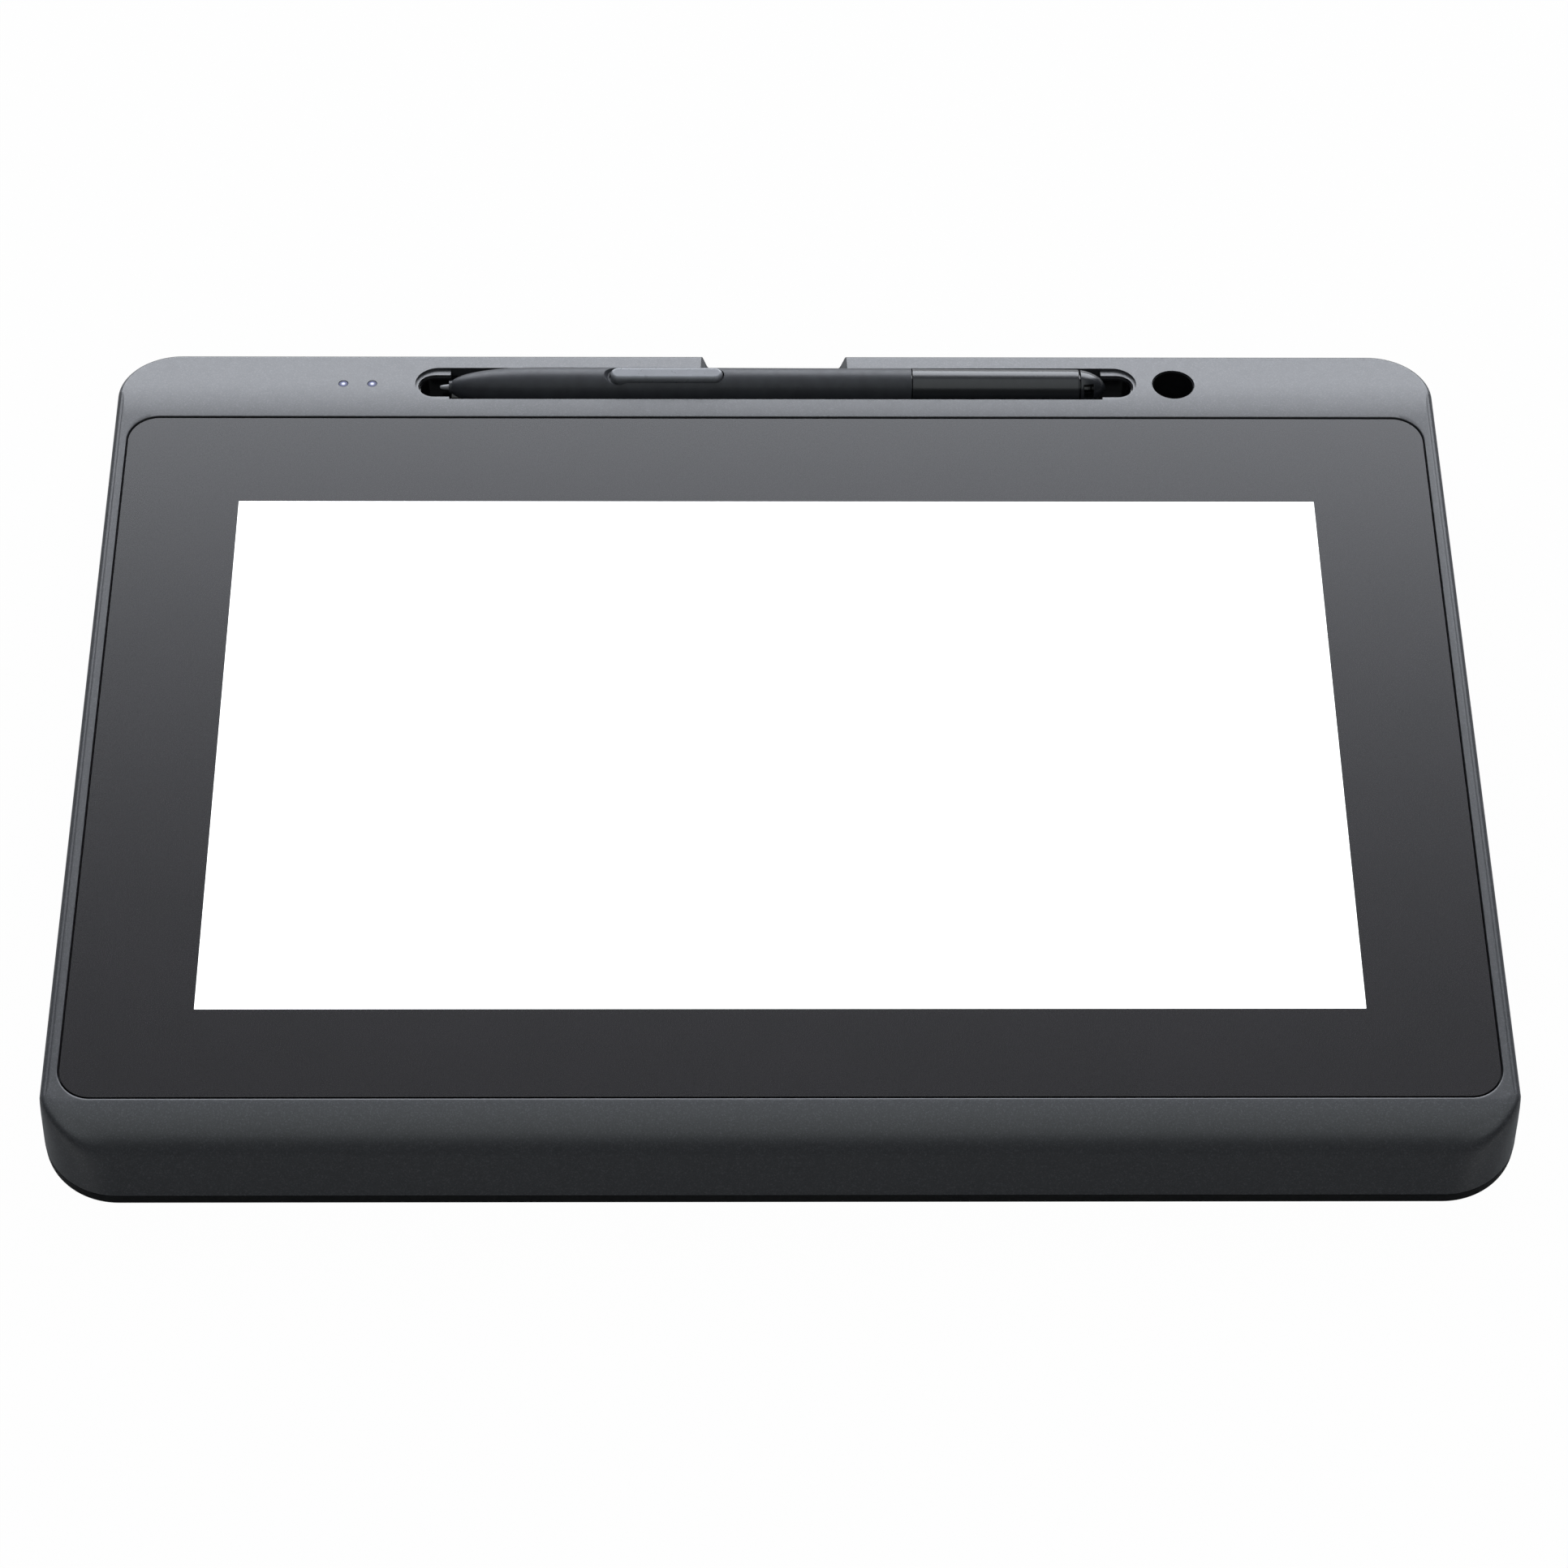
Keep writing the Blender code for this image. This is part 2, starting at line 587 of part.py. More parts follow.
def board_screw_places():
    rear = MAIN_BOARD_REAR - BOARD_HOLE_INSET
    front = MAIN_BOARD_REAR - MAIN_BOARD_DEPTH + BOARD_HOLE_INSET
    return [(side * BOARD_SCREW_X, y) for y in (front, rear) for side in (1, -1)]


def button_board_box():
    """Front left and rear right corners of the button board."""
    lights = light_places()
    left = lights[0][0] - OUTER_LIGHT_GAP - BUTTON_POST_INSET_X
    right = lights[1][0] + INNER_LIGHT_GAP + BUTTON_POST_INSET_X
    rear = HALF_DEPTH - WALL - FIT - TONGUE_WALL - BUTTON_BOARD_GAP
    return (left, rear - BUTTON_BOARD_DEPTH), (right, rear)


def button_screw_places():
    low, high = button_board_box()
    y = low[1] + BUTTON_POST_INSET_Y
    return [(low[0] + BUTTON_POST_INSET_X, y), (high[0] - BUTTON_POST_INSET_X, y)]


def foot_places():
    reach = HALF_WIDTH - FOOT_SIDE_INSET
    rows = (FOOT_FRONT_INSET - HALF_DEPTH, HALF_DEPTH - FOOT_REAR_INSET)
    return [(side * reach, y) for y in rows for side in (1, -1)]


def light_places():
    return [(BUTTON_X + side * LIGHT_SPACING / 2, STAND_Y) for side in (-1, 1)]


def sockets():
    """Name, middle and outer size of each socket."""
    return (
        ("video_socket", VIDEO_X, VIDEO_SIZE),
        ("usb_socket", USB_X, USB_SIZE),
        ("power_jack", JACK_X, JACK_SIZE),
    )


# Housing


def top_at(y):
    """Height of the top face: level at the glass, rolled down in front and curved down to the rear."""
    if y < OPEN_FRONT:
        run = OPEN_FRONT - y
        bend = ROLL * math.sin(ROLL_ANGLE)
        if run < bend:
            return TOP - ROLL + math.sqrt(ROLL**2 - run**2)
        return TOP - ROLL * (1 - math.cos(ROLL_ANGLE)) - (run - bend) * math.tan(ROLL_ANGLE)
    if y > OPEN_REAR:
        run = y - OPEN_REAR
        curved = min(run, REAR_CURVE)
        drop = curved**2 / (2 * REAR_CURVE) + run - curved
        return TOP - drop * math.tan(REAR_SLOPE)
    return TOP


def plan(side, front, rear, front_centre, rear_centre):
    """A ring seen from above, with elliptical corners, from the right side round by the rear."""
    front_x, front_y = front_centre
    rear_x, rear_y = rear_centre
    corners = (
        (rear_x, rear_y, side - rear_x, rear - rear_y),
        (-rear_x, rear_y, side - rear_x, rear - rear_y),
        (-front_x, front_y, side - front_x, front_y - front),
        (front_x, front_y, side - front_x, front_y - front),
    )
    outline = []
    for number, (x, y, reach_x, reach_y) in enumerate(corners):
        start = number * QUARTER
        outline += arc((x, y), reach_x, reach_y, start, start + QUARTER, CORNER_STEPS)
    return outline


def framed(side, front, rear, radius):
    """A ring with four like corners."""
    return plan(side, front, rear, (side - radius, front + radius), (side - radius, rear - radius))


def level(outline, z):
    return [(x, y, z) for x, y in outline]


def front_shares():
    """For each point of a ring, how far it has turned from the side of the housing to its front."""
    turned_shares = [math.sin(QUARTER * step / CORNER_STEPS) ** 2 for step in range(CORNER_STEPS + 1)]
    rear = [0.0] * (2 * len(turned_shares))
    return rear + turned_shares + turned_shares[::-1]


def skin_plan(number):
    """One ring of the top cover seen from above, from the glass opening outwards."""
    flat_share = held(number / FLAT_RINGS)
    turn = QUARTER * held((number - FLAT_RINGS) / EDGE_RINGS)
    fall_share = held((number - FLAT_RINGS - EDGE_RINGS) / WALL_RINGS)
    roll_share = held(number / (FLAT_RINGS + EDGE_RINGS))
    outwards = EDGE_RADIUS * math.sin(turn) + DRAFT * fall_share
    side = blend(OPEN_X, HALF_WIDTH - DRAFT - EDGE_RADIUS, flat_share) + outwards
    rear = blend(OPEN_REAR, HALF_DEPTH - DRAFT - EDGE_RADIUS, flat_share) + outwards
    rolled = OPEN_FRONT - ROLL * math.sin(ROLL_ANGLE * roll_share)
    front = blend(rolled, -HALF_DEPTH, fall_share)
    inner_x = OPEN_X - OPEN_RADIUS
    front_centre = (
        blend(inner_x, FRONT_CENTRE[0], flat_share),
        blend(OPEN_FRONT + OPEN_RADIUS, FRONT_CENTRE[1], flat_share),
    )
    rear_centre = (
        blend(inner_x, REAR_CENTRE[0], flat_share),
        blend(OPEN_REAR - OPEN_RADIUS, REAR_CENTRE[1], flat_share),
    )
    return plan(side, front, rear, front_centre, rear_centre)


def skin_rings():
    """The outer face of the top cover, from the glass opening out and down to the parting line."""
    rings = []
    for number in range(FLAT_RINGS + EDGE_RINGS + WALL_RINGS + 1):
        turn = QUARTER * held((number - FLAT_RINGS) / EDGE_RINGS)
        fall_share = held((number - FLAT_RINGS - EDGE_RINGS) / WALL_RINGS)
        crest = skin_plan(min(number, FLAT_RINGS))
        edge = skin_plan(min(number, FLAT_RINGS + EDGE_RINGS))
        ring = []
        for point, high, low, share in zip(skin_plan(number), crest, edge, front_shares()):
            rounded = top_at(high[1]) - EDGE_RADIUS * (1 - math.cos(turn))
            z = blend(blend(rounded, top_at(low[1]), share), LIP_Z, fall_share)
            ring.append((*point, z))
        rings.append(ring)
    return rings


def lining_rings():
    """The inner face of the top cover: up the wall, in under the ceiling and out over the ledge."""
    lip_front = WALL / math.sin(ROLL_ANGLE) - HALF_DEPTH
    ceiling_front = lip_front + (CEILING - LIP_Z) / math.tan(ROLL_ANGLE)
    lip = plan(HALF_WIDTH - WALL, lip_front, HALF_DEPTH - WALL, FRONT_CENTRE, REAR_CENTRE)
    inset = WALL + DRAFT
    upper = plan(HALF_WIDTH - inset, ceiling_front, HALF_DEPTH - inset, FRONT_CENTRE, REAR_CENTRE)
    ledge = framed(LEDGE_X, OPEN_FRONT + LEDGE_WIDTH, OPEN_REAR - LEDGE_WIDTH, LEDGE_CORNER_RADIUS)
    opening = framed(OPEN_X, OPEN_FRONT, OPEN_REAR, OPEN_RADIUS)
    return [
        level(lip, LIP_Z),
        level(upper, CEILING),
        level(ledge, CEILING),
        level(ledge, LEDGE_TOP),
        level(opening, LEDGE_TOP),
    ]


def pit_outline():
    """The pit of the tray, which runs on under the shelf at both ends."""
    width = TRAY_WIDTH - PIT_FRONT_LAND - PIT_REAR_LAND
    middle = TRAY_Y + (PIT_FRONT_LAND - PIT_REAR_LAND) / 2
    return capsule((0, middle), TRAY_LENGTH - 2 * PIT_END_LAND, width)


def recess(name):
    """The cutter for the slot above its shelves. Its floor is as steep as the face behind the glass."""
    outline = capsule((0, TRAY_Y), TRAY_LENGTH, TRAY_WIDTH)
    middle = top_at(TRAY_Y) - SHELF_DEPTH
    floor = [(x, y, middle - (y - TRAY_Y) * math.tan(REAR_SLOPE)) for x, y in outline]
    return loft(name, [floor, level(outline, TOP + OVERRUN)])


def notch_outline():
    """The finger notch seen from behind: it narrows towards its floor, with round lower corners."""
    wide, narrow = NOTCH_TOP_WIDTH / 2, NOTCH_FLOOR_WIDTH / 2
    top = TOP + OVERRUN
    middle = TROUGH_FLOOR + NOTCH_RADIUS
    inner = narrow - NOTCH_RADIUS
    right = arc((inner, middle), NOTCH_RADIUS, NOTCH_RADIUS, -QUARTER, 0, CAP_STEPS // 2)
    left = [(-u, v) for u, v in reversed(right)]
    return right + [(wide, top), (-wide, top)] + left


def pilot(name, x, y, low, high, radius):
    return prism(name, circle((x, y), radius, SMALL_STEPS), "Z", low, high)


def shell(name):
    """Skin and lining of the upper half of the housing in one, before it is divided into its pieces."""
    return loft(name, skin_rings() + lining_rings(), "grey_paint", closed=True)


def boss(cover, name, centre, radius, bore, bottom):
    """A boss under the ceiling with its pilot hole."""
    join(cover, prism(name, circle(centre, radius), "Z", bottom, CEILING + WELD))
    cut(cover, pilot(f"{name}_pilot", *centre, bottom - OVERRUN, CEILING - PILOT_LAND, bore + FIT))


def top_cover():
    """The frame round the glass, with the ledge that carries it and the rolled front edge."""
    cover = shell("top_cover")
    for number, centre in enumerate(screw_places()):
        if centre[1] < OPEN_REAR:
            name = f"frame_boss_{number}"
            boss(cover, name, centre, SCREW_BOSS_RADIUS, SCREW_RADIUS, POST_TOP + FIT)
    for number, centre in enumerate(chassis_screw_places()):
        name = f"chassis_boss_{number}"
        boss(cover, name, centre, CHASSIS_BOSS_RADIUS, SMALL_SCREW_RADIUS, CHASSIS_TOP + FIT)
    beyond = HALF_WIDTH + OVERRUN
    rest = rectangle((-beyond, OPEN_REAR - SEAM / 2), (beyond, HALF_DEPTH + OVERRUN))
    cut(cover, prism("frame_parting", rest, "Z", FOOT_HEIGHT, TOP + OVERRUN))
    return cover


def rear_band(name, side):
    """One half of the band behind the glass. The two halves meet at the finger notch."""
    band = shell(name)
    above = TOP + OVERRUN
    wall_front = HALF_DEPTH - WALL - DRAFT - OVERRUN
    behind = HALF_DEPTH + OVERRUN
    for number, centre in enumerate(screw_places()):
        if centre[1] > OPEN_REAR and side * centre[0] > 0:
            boss(band, f"{name}_boss_{number}", centre, SCREW_BOSS_RADIUS, SCREW_RADIUS, POST_TOP + FIT)
    saddle_front = TRAY_Y + TROUGH_RADIUS + TRAY_WALL + FIT
    saddle_x = NOTCH_TOP_WIDTH / 2 + SADDLE_RIM
    saddle = rectangle((-saddle_x, saddle_front), (saddle_x, HALF_DEPTH - DRAFT - WELD))
    join(band, prism(f"{name}_saddle", saddle, "Z", BAY_TOP, CEILING + WELD))
    well = centred((0, TRAY_Y), WELL_LENGTH, TRAY_WIDTH)
    bay = rectangle((-BAY_X, LIP_Z - OVERRUN), (BAY_X, BAY_TOP))
    cut(
        band,
        recess(f"{name}_recess"),
        prism(f"{name}_well", well, "Z", CEILING - OVERRUN, above),
        prism(f"{name}_pit", pit_outline(), "Z", CEILING - OVERRUN, above),
        prism(f"{name}_notch", notch_outline(), "Y", TRAY_Y, behind),
        prism(f"{name}_bay_window", bay, "Y", wall_front, behind),
    )
    if side > 0:
        stand = circle((STAND_X, STAND_Y), CUP_BORE, PEN_STEPS)
        cut(band, prism("stand_hole", stand, "Z", CEILING - OVERRUN, above))
        wall_slot = capsule((LOCK_X, SLOT_Z), LOCK_LENGTH, LOCK_HEIGHT)
    else:
        for number, (x, y) in enumerate(light_places()):
            radius = LIGHT_RADIUS + LIGHT_CLEARANCE
            cut(band, pilot(f"light_hole_{number}", x, y, CEILING - OVERRUN, above, radius))
        wall_slot = capsule((BUTTON_X, SLOT_Z), BUTTON_LENGTH + 2 * FIT, BUTTON_HEIGHT + 2 * FIT)
    cut(band, prism(f"{name}_wall_slot", wall_slot, "Y", wall_front, behind))
    beyond = HALF_WIDTH + OVERRUN
    frame_side = rectangle((-beyond, -behind), (beyond, OPEN_REAR + SEAM / 2))
    ends = sorted((side * SEAM / 2, -side * beyond))
    other_half = rectangle((ends[0], 0), (ends[1], behind))
    for title, outline in (("frame_side", frame_side), ("other_half", other_half)):
        cut(band, prism(f"{name}_{title}", outline, "Z", FOOT_HEIGHT, above))
    return band


def tub_ring(side_inset, front_inset, z):
    side, rear = HALF_WIDTH - side_inset, HALF_DEPTH - side_inset
    return level(plan(side, front_inset - HALF_DEPTH, rear, FRONT_CENTRE, REAR_CENTRE), z)


def tub_rings():
    """The lower half without its ribs: round lower edge, rim, tongue and floor."""
    rings = []
    for step in range(TUB_EDGE_STEPS + 1):
        turn = QUARTER * step / TUB_EDGE_STEPS
        inset = TUB_EDGE_RADIUS * (1 - math.sin(turn))
        rings.append(tub_ring(inset, inset, FOOT_HEIGHT + TUB_EDGE_RADIUS * (1 - math.cos(turn))))
    side = WALL + FIT
    front = (WALL + FIT) / math.sin(ROLL_ANGLE) + TONGUE_HEIGHT / math.tan(ROLL_ANGLE)
    rim = LIP_Z - SEAM
    rings.append(tub_ring(0, 0, rim))
    rings.append(tub_ring(side, front, rim))
    rings.append(tub_ring(side, front, TONGUE_TOP))
    rings.append(tub_ring(side + TONGUE_WALL, front + TONGUE_WALL, TONGUE_TOP))
    rings.append(tub_ring(side + TONGUE_WALL, front + TONGUE_WALL, FLOOR_TOP))
    return rings


def post(name, x, y, radius, top):
    return prism(name, circle((x, y), radius), "Z", FLOOR_TOP - WELD, top)


def floor_ribs():
    """Ribs across and along the floor, up to just under the chassis."""
    low, high = FLOOR_TOP - WELD, CHASSIS_BOTTOM - FIT
    ribs = []
    for number in range(RIB_COUNT):
        outline = centred((0, RIB_FIRST_Y + number * RIB_PITCH), RIB_SPAN, RIB_THICKNESS)
        ribs.append(prism(f"cross_rib_{number}", outline, "Z", low, high))
    for side in (-1, 1):
        middle = side * LONG_RIB_X
        half = RIB_THICKNESS / 2
        outline = rectangle((middle - half, RIB_FIRST_Y), (middle + half, LONG_RIB_END_Y))
        ribs.append(prism(f"long_rib_{side + 1}", outline, "Z", low, high))
    return ribs


def bay_walls():
    """Side walls of the connector bay, and the wall that the sockets show through."""
    low = FLOOR_TOP - WELD
    outer = BAY_X + BAY_WALL
    rear = HALF_DEPTH - WALL - FIT - TONGUE_WALL / 2
    front = BAY_FRONT - BAY_WALL
    wall = rectangle((-outer, front), (outer, BAY_FRONT))
    walls = [prism("bay_front_wall", wall, "Z", low, CHASSIS_BOTTOM - BAY_WALL_TOP_GAP)]
    for side in (-1, 1):
        ends = sorted((side * BAY_X, side * outer))
        outline = rectangle((ends[0], front), (ends[1], rear))
        walls.append(prism(f"bay_side_wall_{side + 1}", outline, "Z", low, BAY_TOP))
    return walls


def bottom_cover():
    """The moulded lower half of the housing."""
    tub = loft("bottom_cover", tub_rings(), "black_moulding")
    below = FOOT_HEIGHT - OVERRUN
    join(tub, *floor_ribs(), *bay_walls())
    seat = FOOT_HEIGHT + SCREW_SINK + SCREW_HEAD_HEIGHT + FIT
    for number, (x, y) in enumerate(screw_places()):
        name = f"screw_post_{number}"
        join(tub, post(name, x, y, SCREW_POST_RADIUS, POST_TOP))
        cut(tub, pilot(f"{name}_bore", x, y, below, POST_TOP + OVERRUN, SCREW_RADIUS + 2 * FIT))
        head = circle((x, y), SCREW_HEAD_RADIUS + FIT)
        cut(tub, prism(f"{name}_sink", head, "Z", below, seat))
    standing = [(centre, SMALL_POST_RADIUS) for centre in board_screw_places()]
    standing += [(centre, BUTTON_POST_RADIUS) for centre in button_screw_places()]
    for number, ((x, y), radius) in enumerate(standing):
        name = f"board_post_{number}"
        join(tub, post(name, x, y, radius, STANDOFF_TOP))
        bore = SMALL_SCREW_RADIUS + FIT
        cut(tub, pilot(f"{name}_bore", x, y, FLOOR_TOP + FIT, STANDOFF_TOP + OVERRUN, bore))
    for number, (x, y) in enumerate(insert_places()):
        name = f"insert_boss_{number}"
        radius = INSERT_RADIUS + FIT
        join(tub, post(name, x, y, radius + INSERT_WALL, STANDOFF_TOP))
        bore = circle((x, y), radius)
        cut(tub, prism(f"{name}_bore", bore, "Z", below, STANDOFF_TOP + OVERRUN))
    for number, centre in enumerate(foot_places()):
        pocket = capsule(centre, FOOT_LENGTH + 2 * FIT, FOOT_WIDTH + 2 * FIT)
        cut(tub, prism(f"foot_pocket_{number}", pocket, "Z", below, FOOT_HEIGHT + FOOT_RECESS))
    behind = HALF_DEPTH + OVERRUN
    lip = FOOT_HEIGHT + BAY_LIP
    plate_x = BAY_X - COVER_STEP
    channel = rectangle((-BAY_X, BAY_FRONT), (BAY_X, behind))
    mouth = rectangle((-plate_x, BAY_FRONT), (plate_x, behind))
    cut(
        tub,
        prism("bay_channel", channel, "Z", lip, BAY_TOP + OVERRUN),
        prism("bay_mouth", mouth, "Z", below, lip + WELD),
    )
    for name, x, size in sockets():
        low = (x - size[0] / 2 - FIT, SOCKET_Z - size[1] / 2 - FIT)
        high = (x + size[0] / 2 + FIT, CHASSIS_BOTTOM)
        window = rectangle(low, high)
        front, rear = BAY_FRONT - BAY_WALL - OVERRUN, BAY_FRONT + OVERRUN
        cut(tub, prism(f"{name}_window", window, "Y", front, rear))
    return tub


def cable_cover():
    """The plate that closes the connector bay. Its runners lie on the lips of the bay."""
    front = BAY_FRONT + FIT
    rear = HALF_DEPTH - COVER_RECESS
    radius = TUB_EDGE_RADIUS
    low, high = FOOT_HEIGHT, BAY_TOP - FIT
    edge = arc((rear - radius, low + radius), radius, radius, -QUARTER, 0, TUB_EDGE_STEPS)
    inner = rear - UPSTAND_THICKNESS
    profile = [(front, low), *edge, (rear, high), (inner, high), (inner, FLOOR_TOP), (front, FLOOR_TOP)]
    half = COVER_WIDTH / 2
    cover = prism("cable_cover", profile, "X", -half, half, "black_moulding")
    runner = FLOOR_TOP - RUNNER_THICKNESS
    for side in (-1, 1):
        ends = sorted((side * (half - COVER_STEP), side * (half + OVERRUN)))
        strip = rectangle((ends[0], front - OVERRUN), (ends[1], rear + OVERRUN))
        cut(cover, prism(f"runner_step_{side + 1}", strip, "Z", low - OVERRUN, runner))
    outlet = rectangle((-OUTLET_WIDTH / 2, FLOOR_TOP), (OUTLET_WIDTH / 2, high + OVERRUN))
    cut(cover, prism("cable_outlet", outlet, "Y", inner - OVERRUN, rear + OVERRUN))
    for number in range(GROOVE_COUNT):
        y = rear - GROOVE_SETBACK - number * GROOVE_PITCH
        groove = capsule((0, y), GROOVE_LENGTH, GROOVE_WIDTH, CAP_STEPS // 2)
        cut(cover, prism(f"grip_groove_{number}", groove, "Z", low - OVERRUN, low + GROOVE_DEPTH))
    return cover


def feet():
    made = []
    for number, centre in enumerate(foot_places(), start=1):
        inner = capsule(centre, FOOT_LENGTH - 2 * FOOT_CHAMFER, FOOT_WIDTH - 2 * FOOT_CHAMFER)
        outer = capsule(centre, FOOT_LENGTH, FOOT_WIDTH)
        top = FOOT_HEIGHT + FOOT_RECESS - FIT
        loops = [level(inner, 0), level(outer, FOOT_CHAMFER), level(outer, top)]
        made.append(loft(f"foot_{number}", loops, "foot_rubber"))
    return made


def housing_screws():
    low = FOOT_HEIGHT + SCREW_SINK
    high = low + SCREW_HEAD_HEIGHT
    tip = CEILING - PILOT_LAND - SCREW_TIP_GAP
    profile = (
        (low + SCREW_DRIVE_DEPTH, SCREW_DRIVE_RADIUS),
        (low, SCREW_DRIVE_RADIUS),
        (low, SCREW_HEAD_RADIUS),
        (high, SCREW_HEAD_RADIUS),
        (high, SCREW_RADIUS),
        (tip - SCREW_POINT, SCREW_RADIUS),
        (tip, SCREW_RADIUS / 2),
    )
    for number, centre in enumerate(screw_places(), start=1):
        turned(f"housing_screw_{number}", profile, "Z", centre, "sheet_steel", steps=SMALL_STEPS)


def small_screw(name, centre, head, tip):
    """A pan head screw from its head's seat to its tip, either way up."""
    back = head + math.copysign(SMALL_HEAD_HEIGHT, head - tip)
    profile = (
        (back, SMALL_HEAD_RADIUS),
        (head, SMALL_HEAD_RADIUS),
        (head, SMALL_SCREW_RADIUS),
        (tip, SMALL_SCREW_RADIUS),
    )
    return turned(name, profile, "Z", centre, "sheet_steel", steps=SMALL_STEPS)


# Face and display


def cover_glass():
    """The glass face, with its upper edge ground off all round."""

    def ring(inset, z):
        gap = GLASS_GAP + inset
        outline = framed(OPEN_X - gap, OPEN_FRONT + gap, OPEN_REAR - gap, GLASS_RADIUS - inset)
        return level(outline, z)

    loops = [ring(0, GLASS_BOTTOM), ring(0, TOP - GLASS_CHAMFER), ring(GLASS_CHAMFER, TOP)]
    return loft("cover_glass", loops, "glass_face")


def glass_tape():
    """The frame of tape that holds the glass on the ledge."""
    low = LEDGE_TOP + BOND
    high = low + TAPE_THICKNESS
    gap = GLASS_GAP + TAPE_INSET
    outer = framed(OPEN_X - gap, OPEN_FRONT + gap, OPEN_REAR - gap, GLASS_RADIUS)
    reach = LEDGE_WIDTH - TAPE_INSET
    inner = framed(OPEN_X - reach, OPEN_FRONT + reach, OPEN_REAR - reach, LEDGE_CORNER_RADIUS)
    loops = [level(outer, low), level(outer, high), level(inner, high), level(inner, low)]
    return loft("glass_tape", loops, "foam_tape", closed=True)


def layer(name, grow, low, thickness, finish):
    """A flat layer of the display, larger than the panel by a rim all round."""
    corner = (-PANEL_X - grow, PANEL_FRONT - grow)
    outline = rectangle(corner, (PANEL_X + grow, PANEL_REAR + grow))
    return prism(name, outline, "Z", low, low + thickness, finish)


def display():
    layer("lcd_panel", 0, PANEL_BOTTOM, PANEL_THICKNESS, "lit_panel")
    layer("backlight_unit", BACKLIGHT_RIM, BACKLIGHT_BOTTOM, BACKLIGHT_THICKNESS, "sheet_steel")
    layer("sensor_board", SENSOR_RIM, SENSOR_BOTTOM, SENSOR_THICKNESS, "board_green")
    layer("shield_plate", SENSOR_RIM, SHIELD_BOTTOM, SHIELD_THICKNESS, "sheet_steel")


def chassis_plate():
    """The steel plate that carries the display, with an ear at each boss of the top cover."""
    ear_x = CHASSIS_SCREW_X + EAR_LAND
    half = EAR_WIDTH / 2
    right = [(CHASSIS_X, CHASSIS_FRONT)]
    for y in (EAR_FRONT_Y, EAR_REAR_Y):
        right += [(CHASSIS_X, y - half), (ear_x, y - half), (ear_x, y + half), (CHASSIS_X, y + half)]
    right.append((CHASSIS_X, CHASSIS_REAR))
    left = [(-x, y) for x, y in reversed(right)]
    plate = prism("chassis_plate", right + left, "Z", CHASSIS_BOTTOM, CHASSIS_TOP, "sheet_steel")
    low, high = CHASSIS_BOTTOM - OVERRUN, CHASSIS_TOP + OVERRUN
    for number, (x, y) in enumerate(chassis_screw_places()):
        cut(plate, pilot(f"ear_hole_{number}", x, y, low, high, SMALL_SCREW_RADIUS + FIT))
    head = CHASSIS_BOTTOM - BOND
    tip = CEILING - PILOT_LAND - SCREW_TIP_GAP
    for number, centre in enumerate(chassis_screw_places(), start=1):
        small_screw(f"chassis_screw_{number}", centre, head, tip)
    return plate


# Boards and sockets


def main_board():
    """The main board with its chips, the plugs of the two ribbons and a notch for each socket."""
    half = MAIN_BOARD_WIDTH / 2
    front = MAIN_BOARD_REAR - MAIN_BOARD_DEPTH
    outline = rectangle((-half, front), (half, MAIN_BOARD_REAR))
    board = prism("main_board", outline, "Z", BOARD_BOTTOM, BOARD_TOP, "board_green")
    low, high = BOARD_TOP - BOARD_THICKNESS / 2, BOARD_TOP + CHIP_HEIGHT
    middle = (front + MAIN_BOARD_REAR) / 2
    chips = [("processor", 0, PROCESSOR_SIZE)]
    chips += [("memory_left", -CHIP_SPACING, MEMORY_SIZE), ("memory_right", CHIP_SPACING, MEMORY_SIZE)]
    for name, x, size in chips:
        join(board, prism(name, centred((x, middle), size, size), "Z", low, high))
    plug_rear = MAIN_BOARD_REAR - RIBBON_LANDING - FIT
    for side in (-1, 1):
        x = side * RIBBON_X
        plug = centred((x, plug_rear - PLUG_DEPTH / 2), RIBBON_WIDTH, PLUG_DEPTH)
        join(board, prism(f"ribbon_plug_{side + 1}", plug, "Z", low, high))
    under, over = BOARD_BOTTOM - OVERRUN, BOARD_TOP + OVERRUN
    for number, (x, y) in enumerate(board_screw_places()):
        cut(board, pilot(f"board_hole_{number}", x, y, under, over, SMALL_SCREW_RADIUS + FIT))
    for name, x, size in sockets():
        reach = size[0] / 2 + FIT
        start = BAY_FRONT - SOCKET_DEPTH - FIT
        notch = rectangle((x - reach, start), (x + reach, MAIN_BOARD_REAR + OVERRUN))
        cut(board, prism(f"{name}_notch", notch, "Z", under, over))
    head = BOARD_TOP + BOND
    for number, centre in enumerate(board_screw_places(), start=1):
        small_screw(f"board_screw_{number}", centre, head, FLOOR_TOP + 2 * FIT)
    return board


def socket(name, x, size, outline_of, finish):
    """A socket shell, open to the rear, with a tongue in its mouth."""
    rear = BAY_FRONT
    front = rear - SOCKET_DEPTH
    shell = prism(name, outline_of((x, SOCKET_Z), *size), "Y", front, rear, finish)
    inner = [side - 2 * SOCKET_WALL for side in size]
    mouth = outline_of((x, SOCKET_Z), *inner)
    cut(shell, prism(f"{name}_mouth", mouth, "Y", front + SOCKET_BACK, rear + OVERRUN))
    tongue = centred((x, SOCKET_Z), inner[0] - size[1], SOCKET_TONGUE)
    join(shell, prism(f"{name}_tongue", tongue, "Y", front + SOCKET_BACK - WELD, rear - SOCKET_BACK))
    return shell


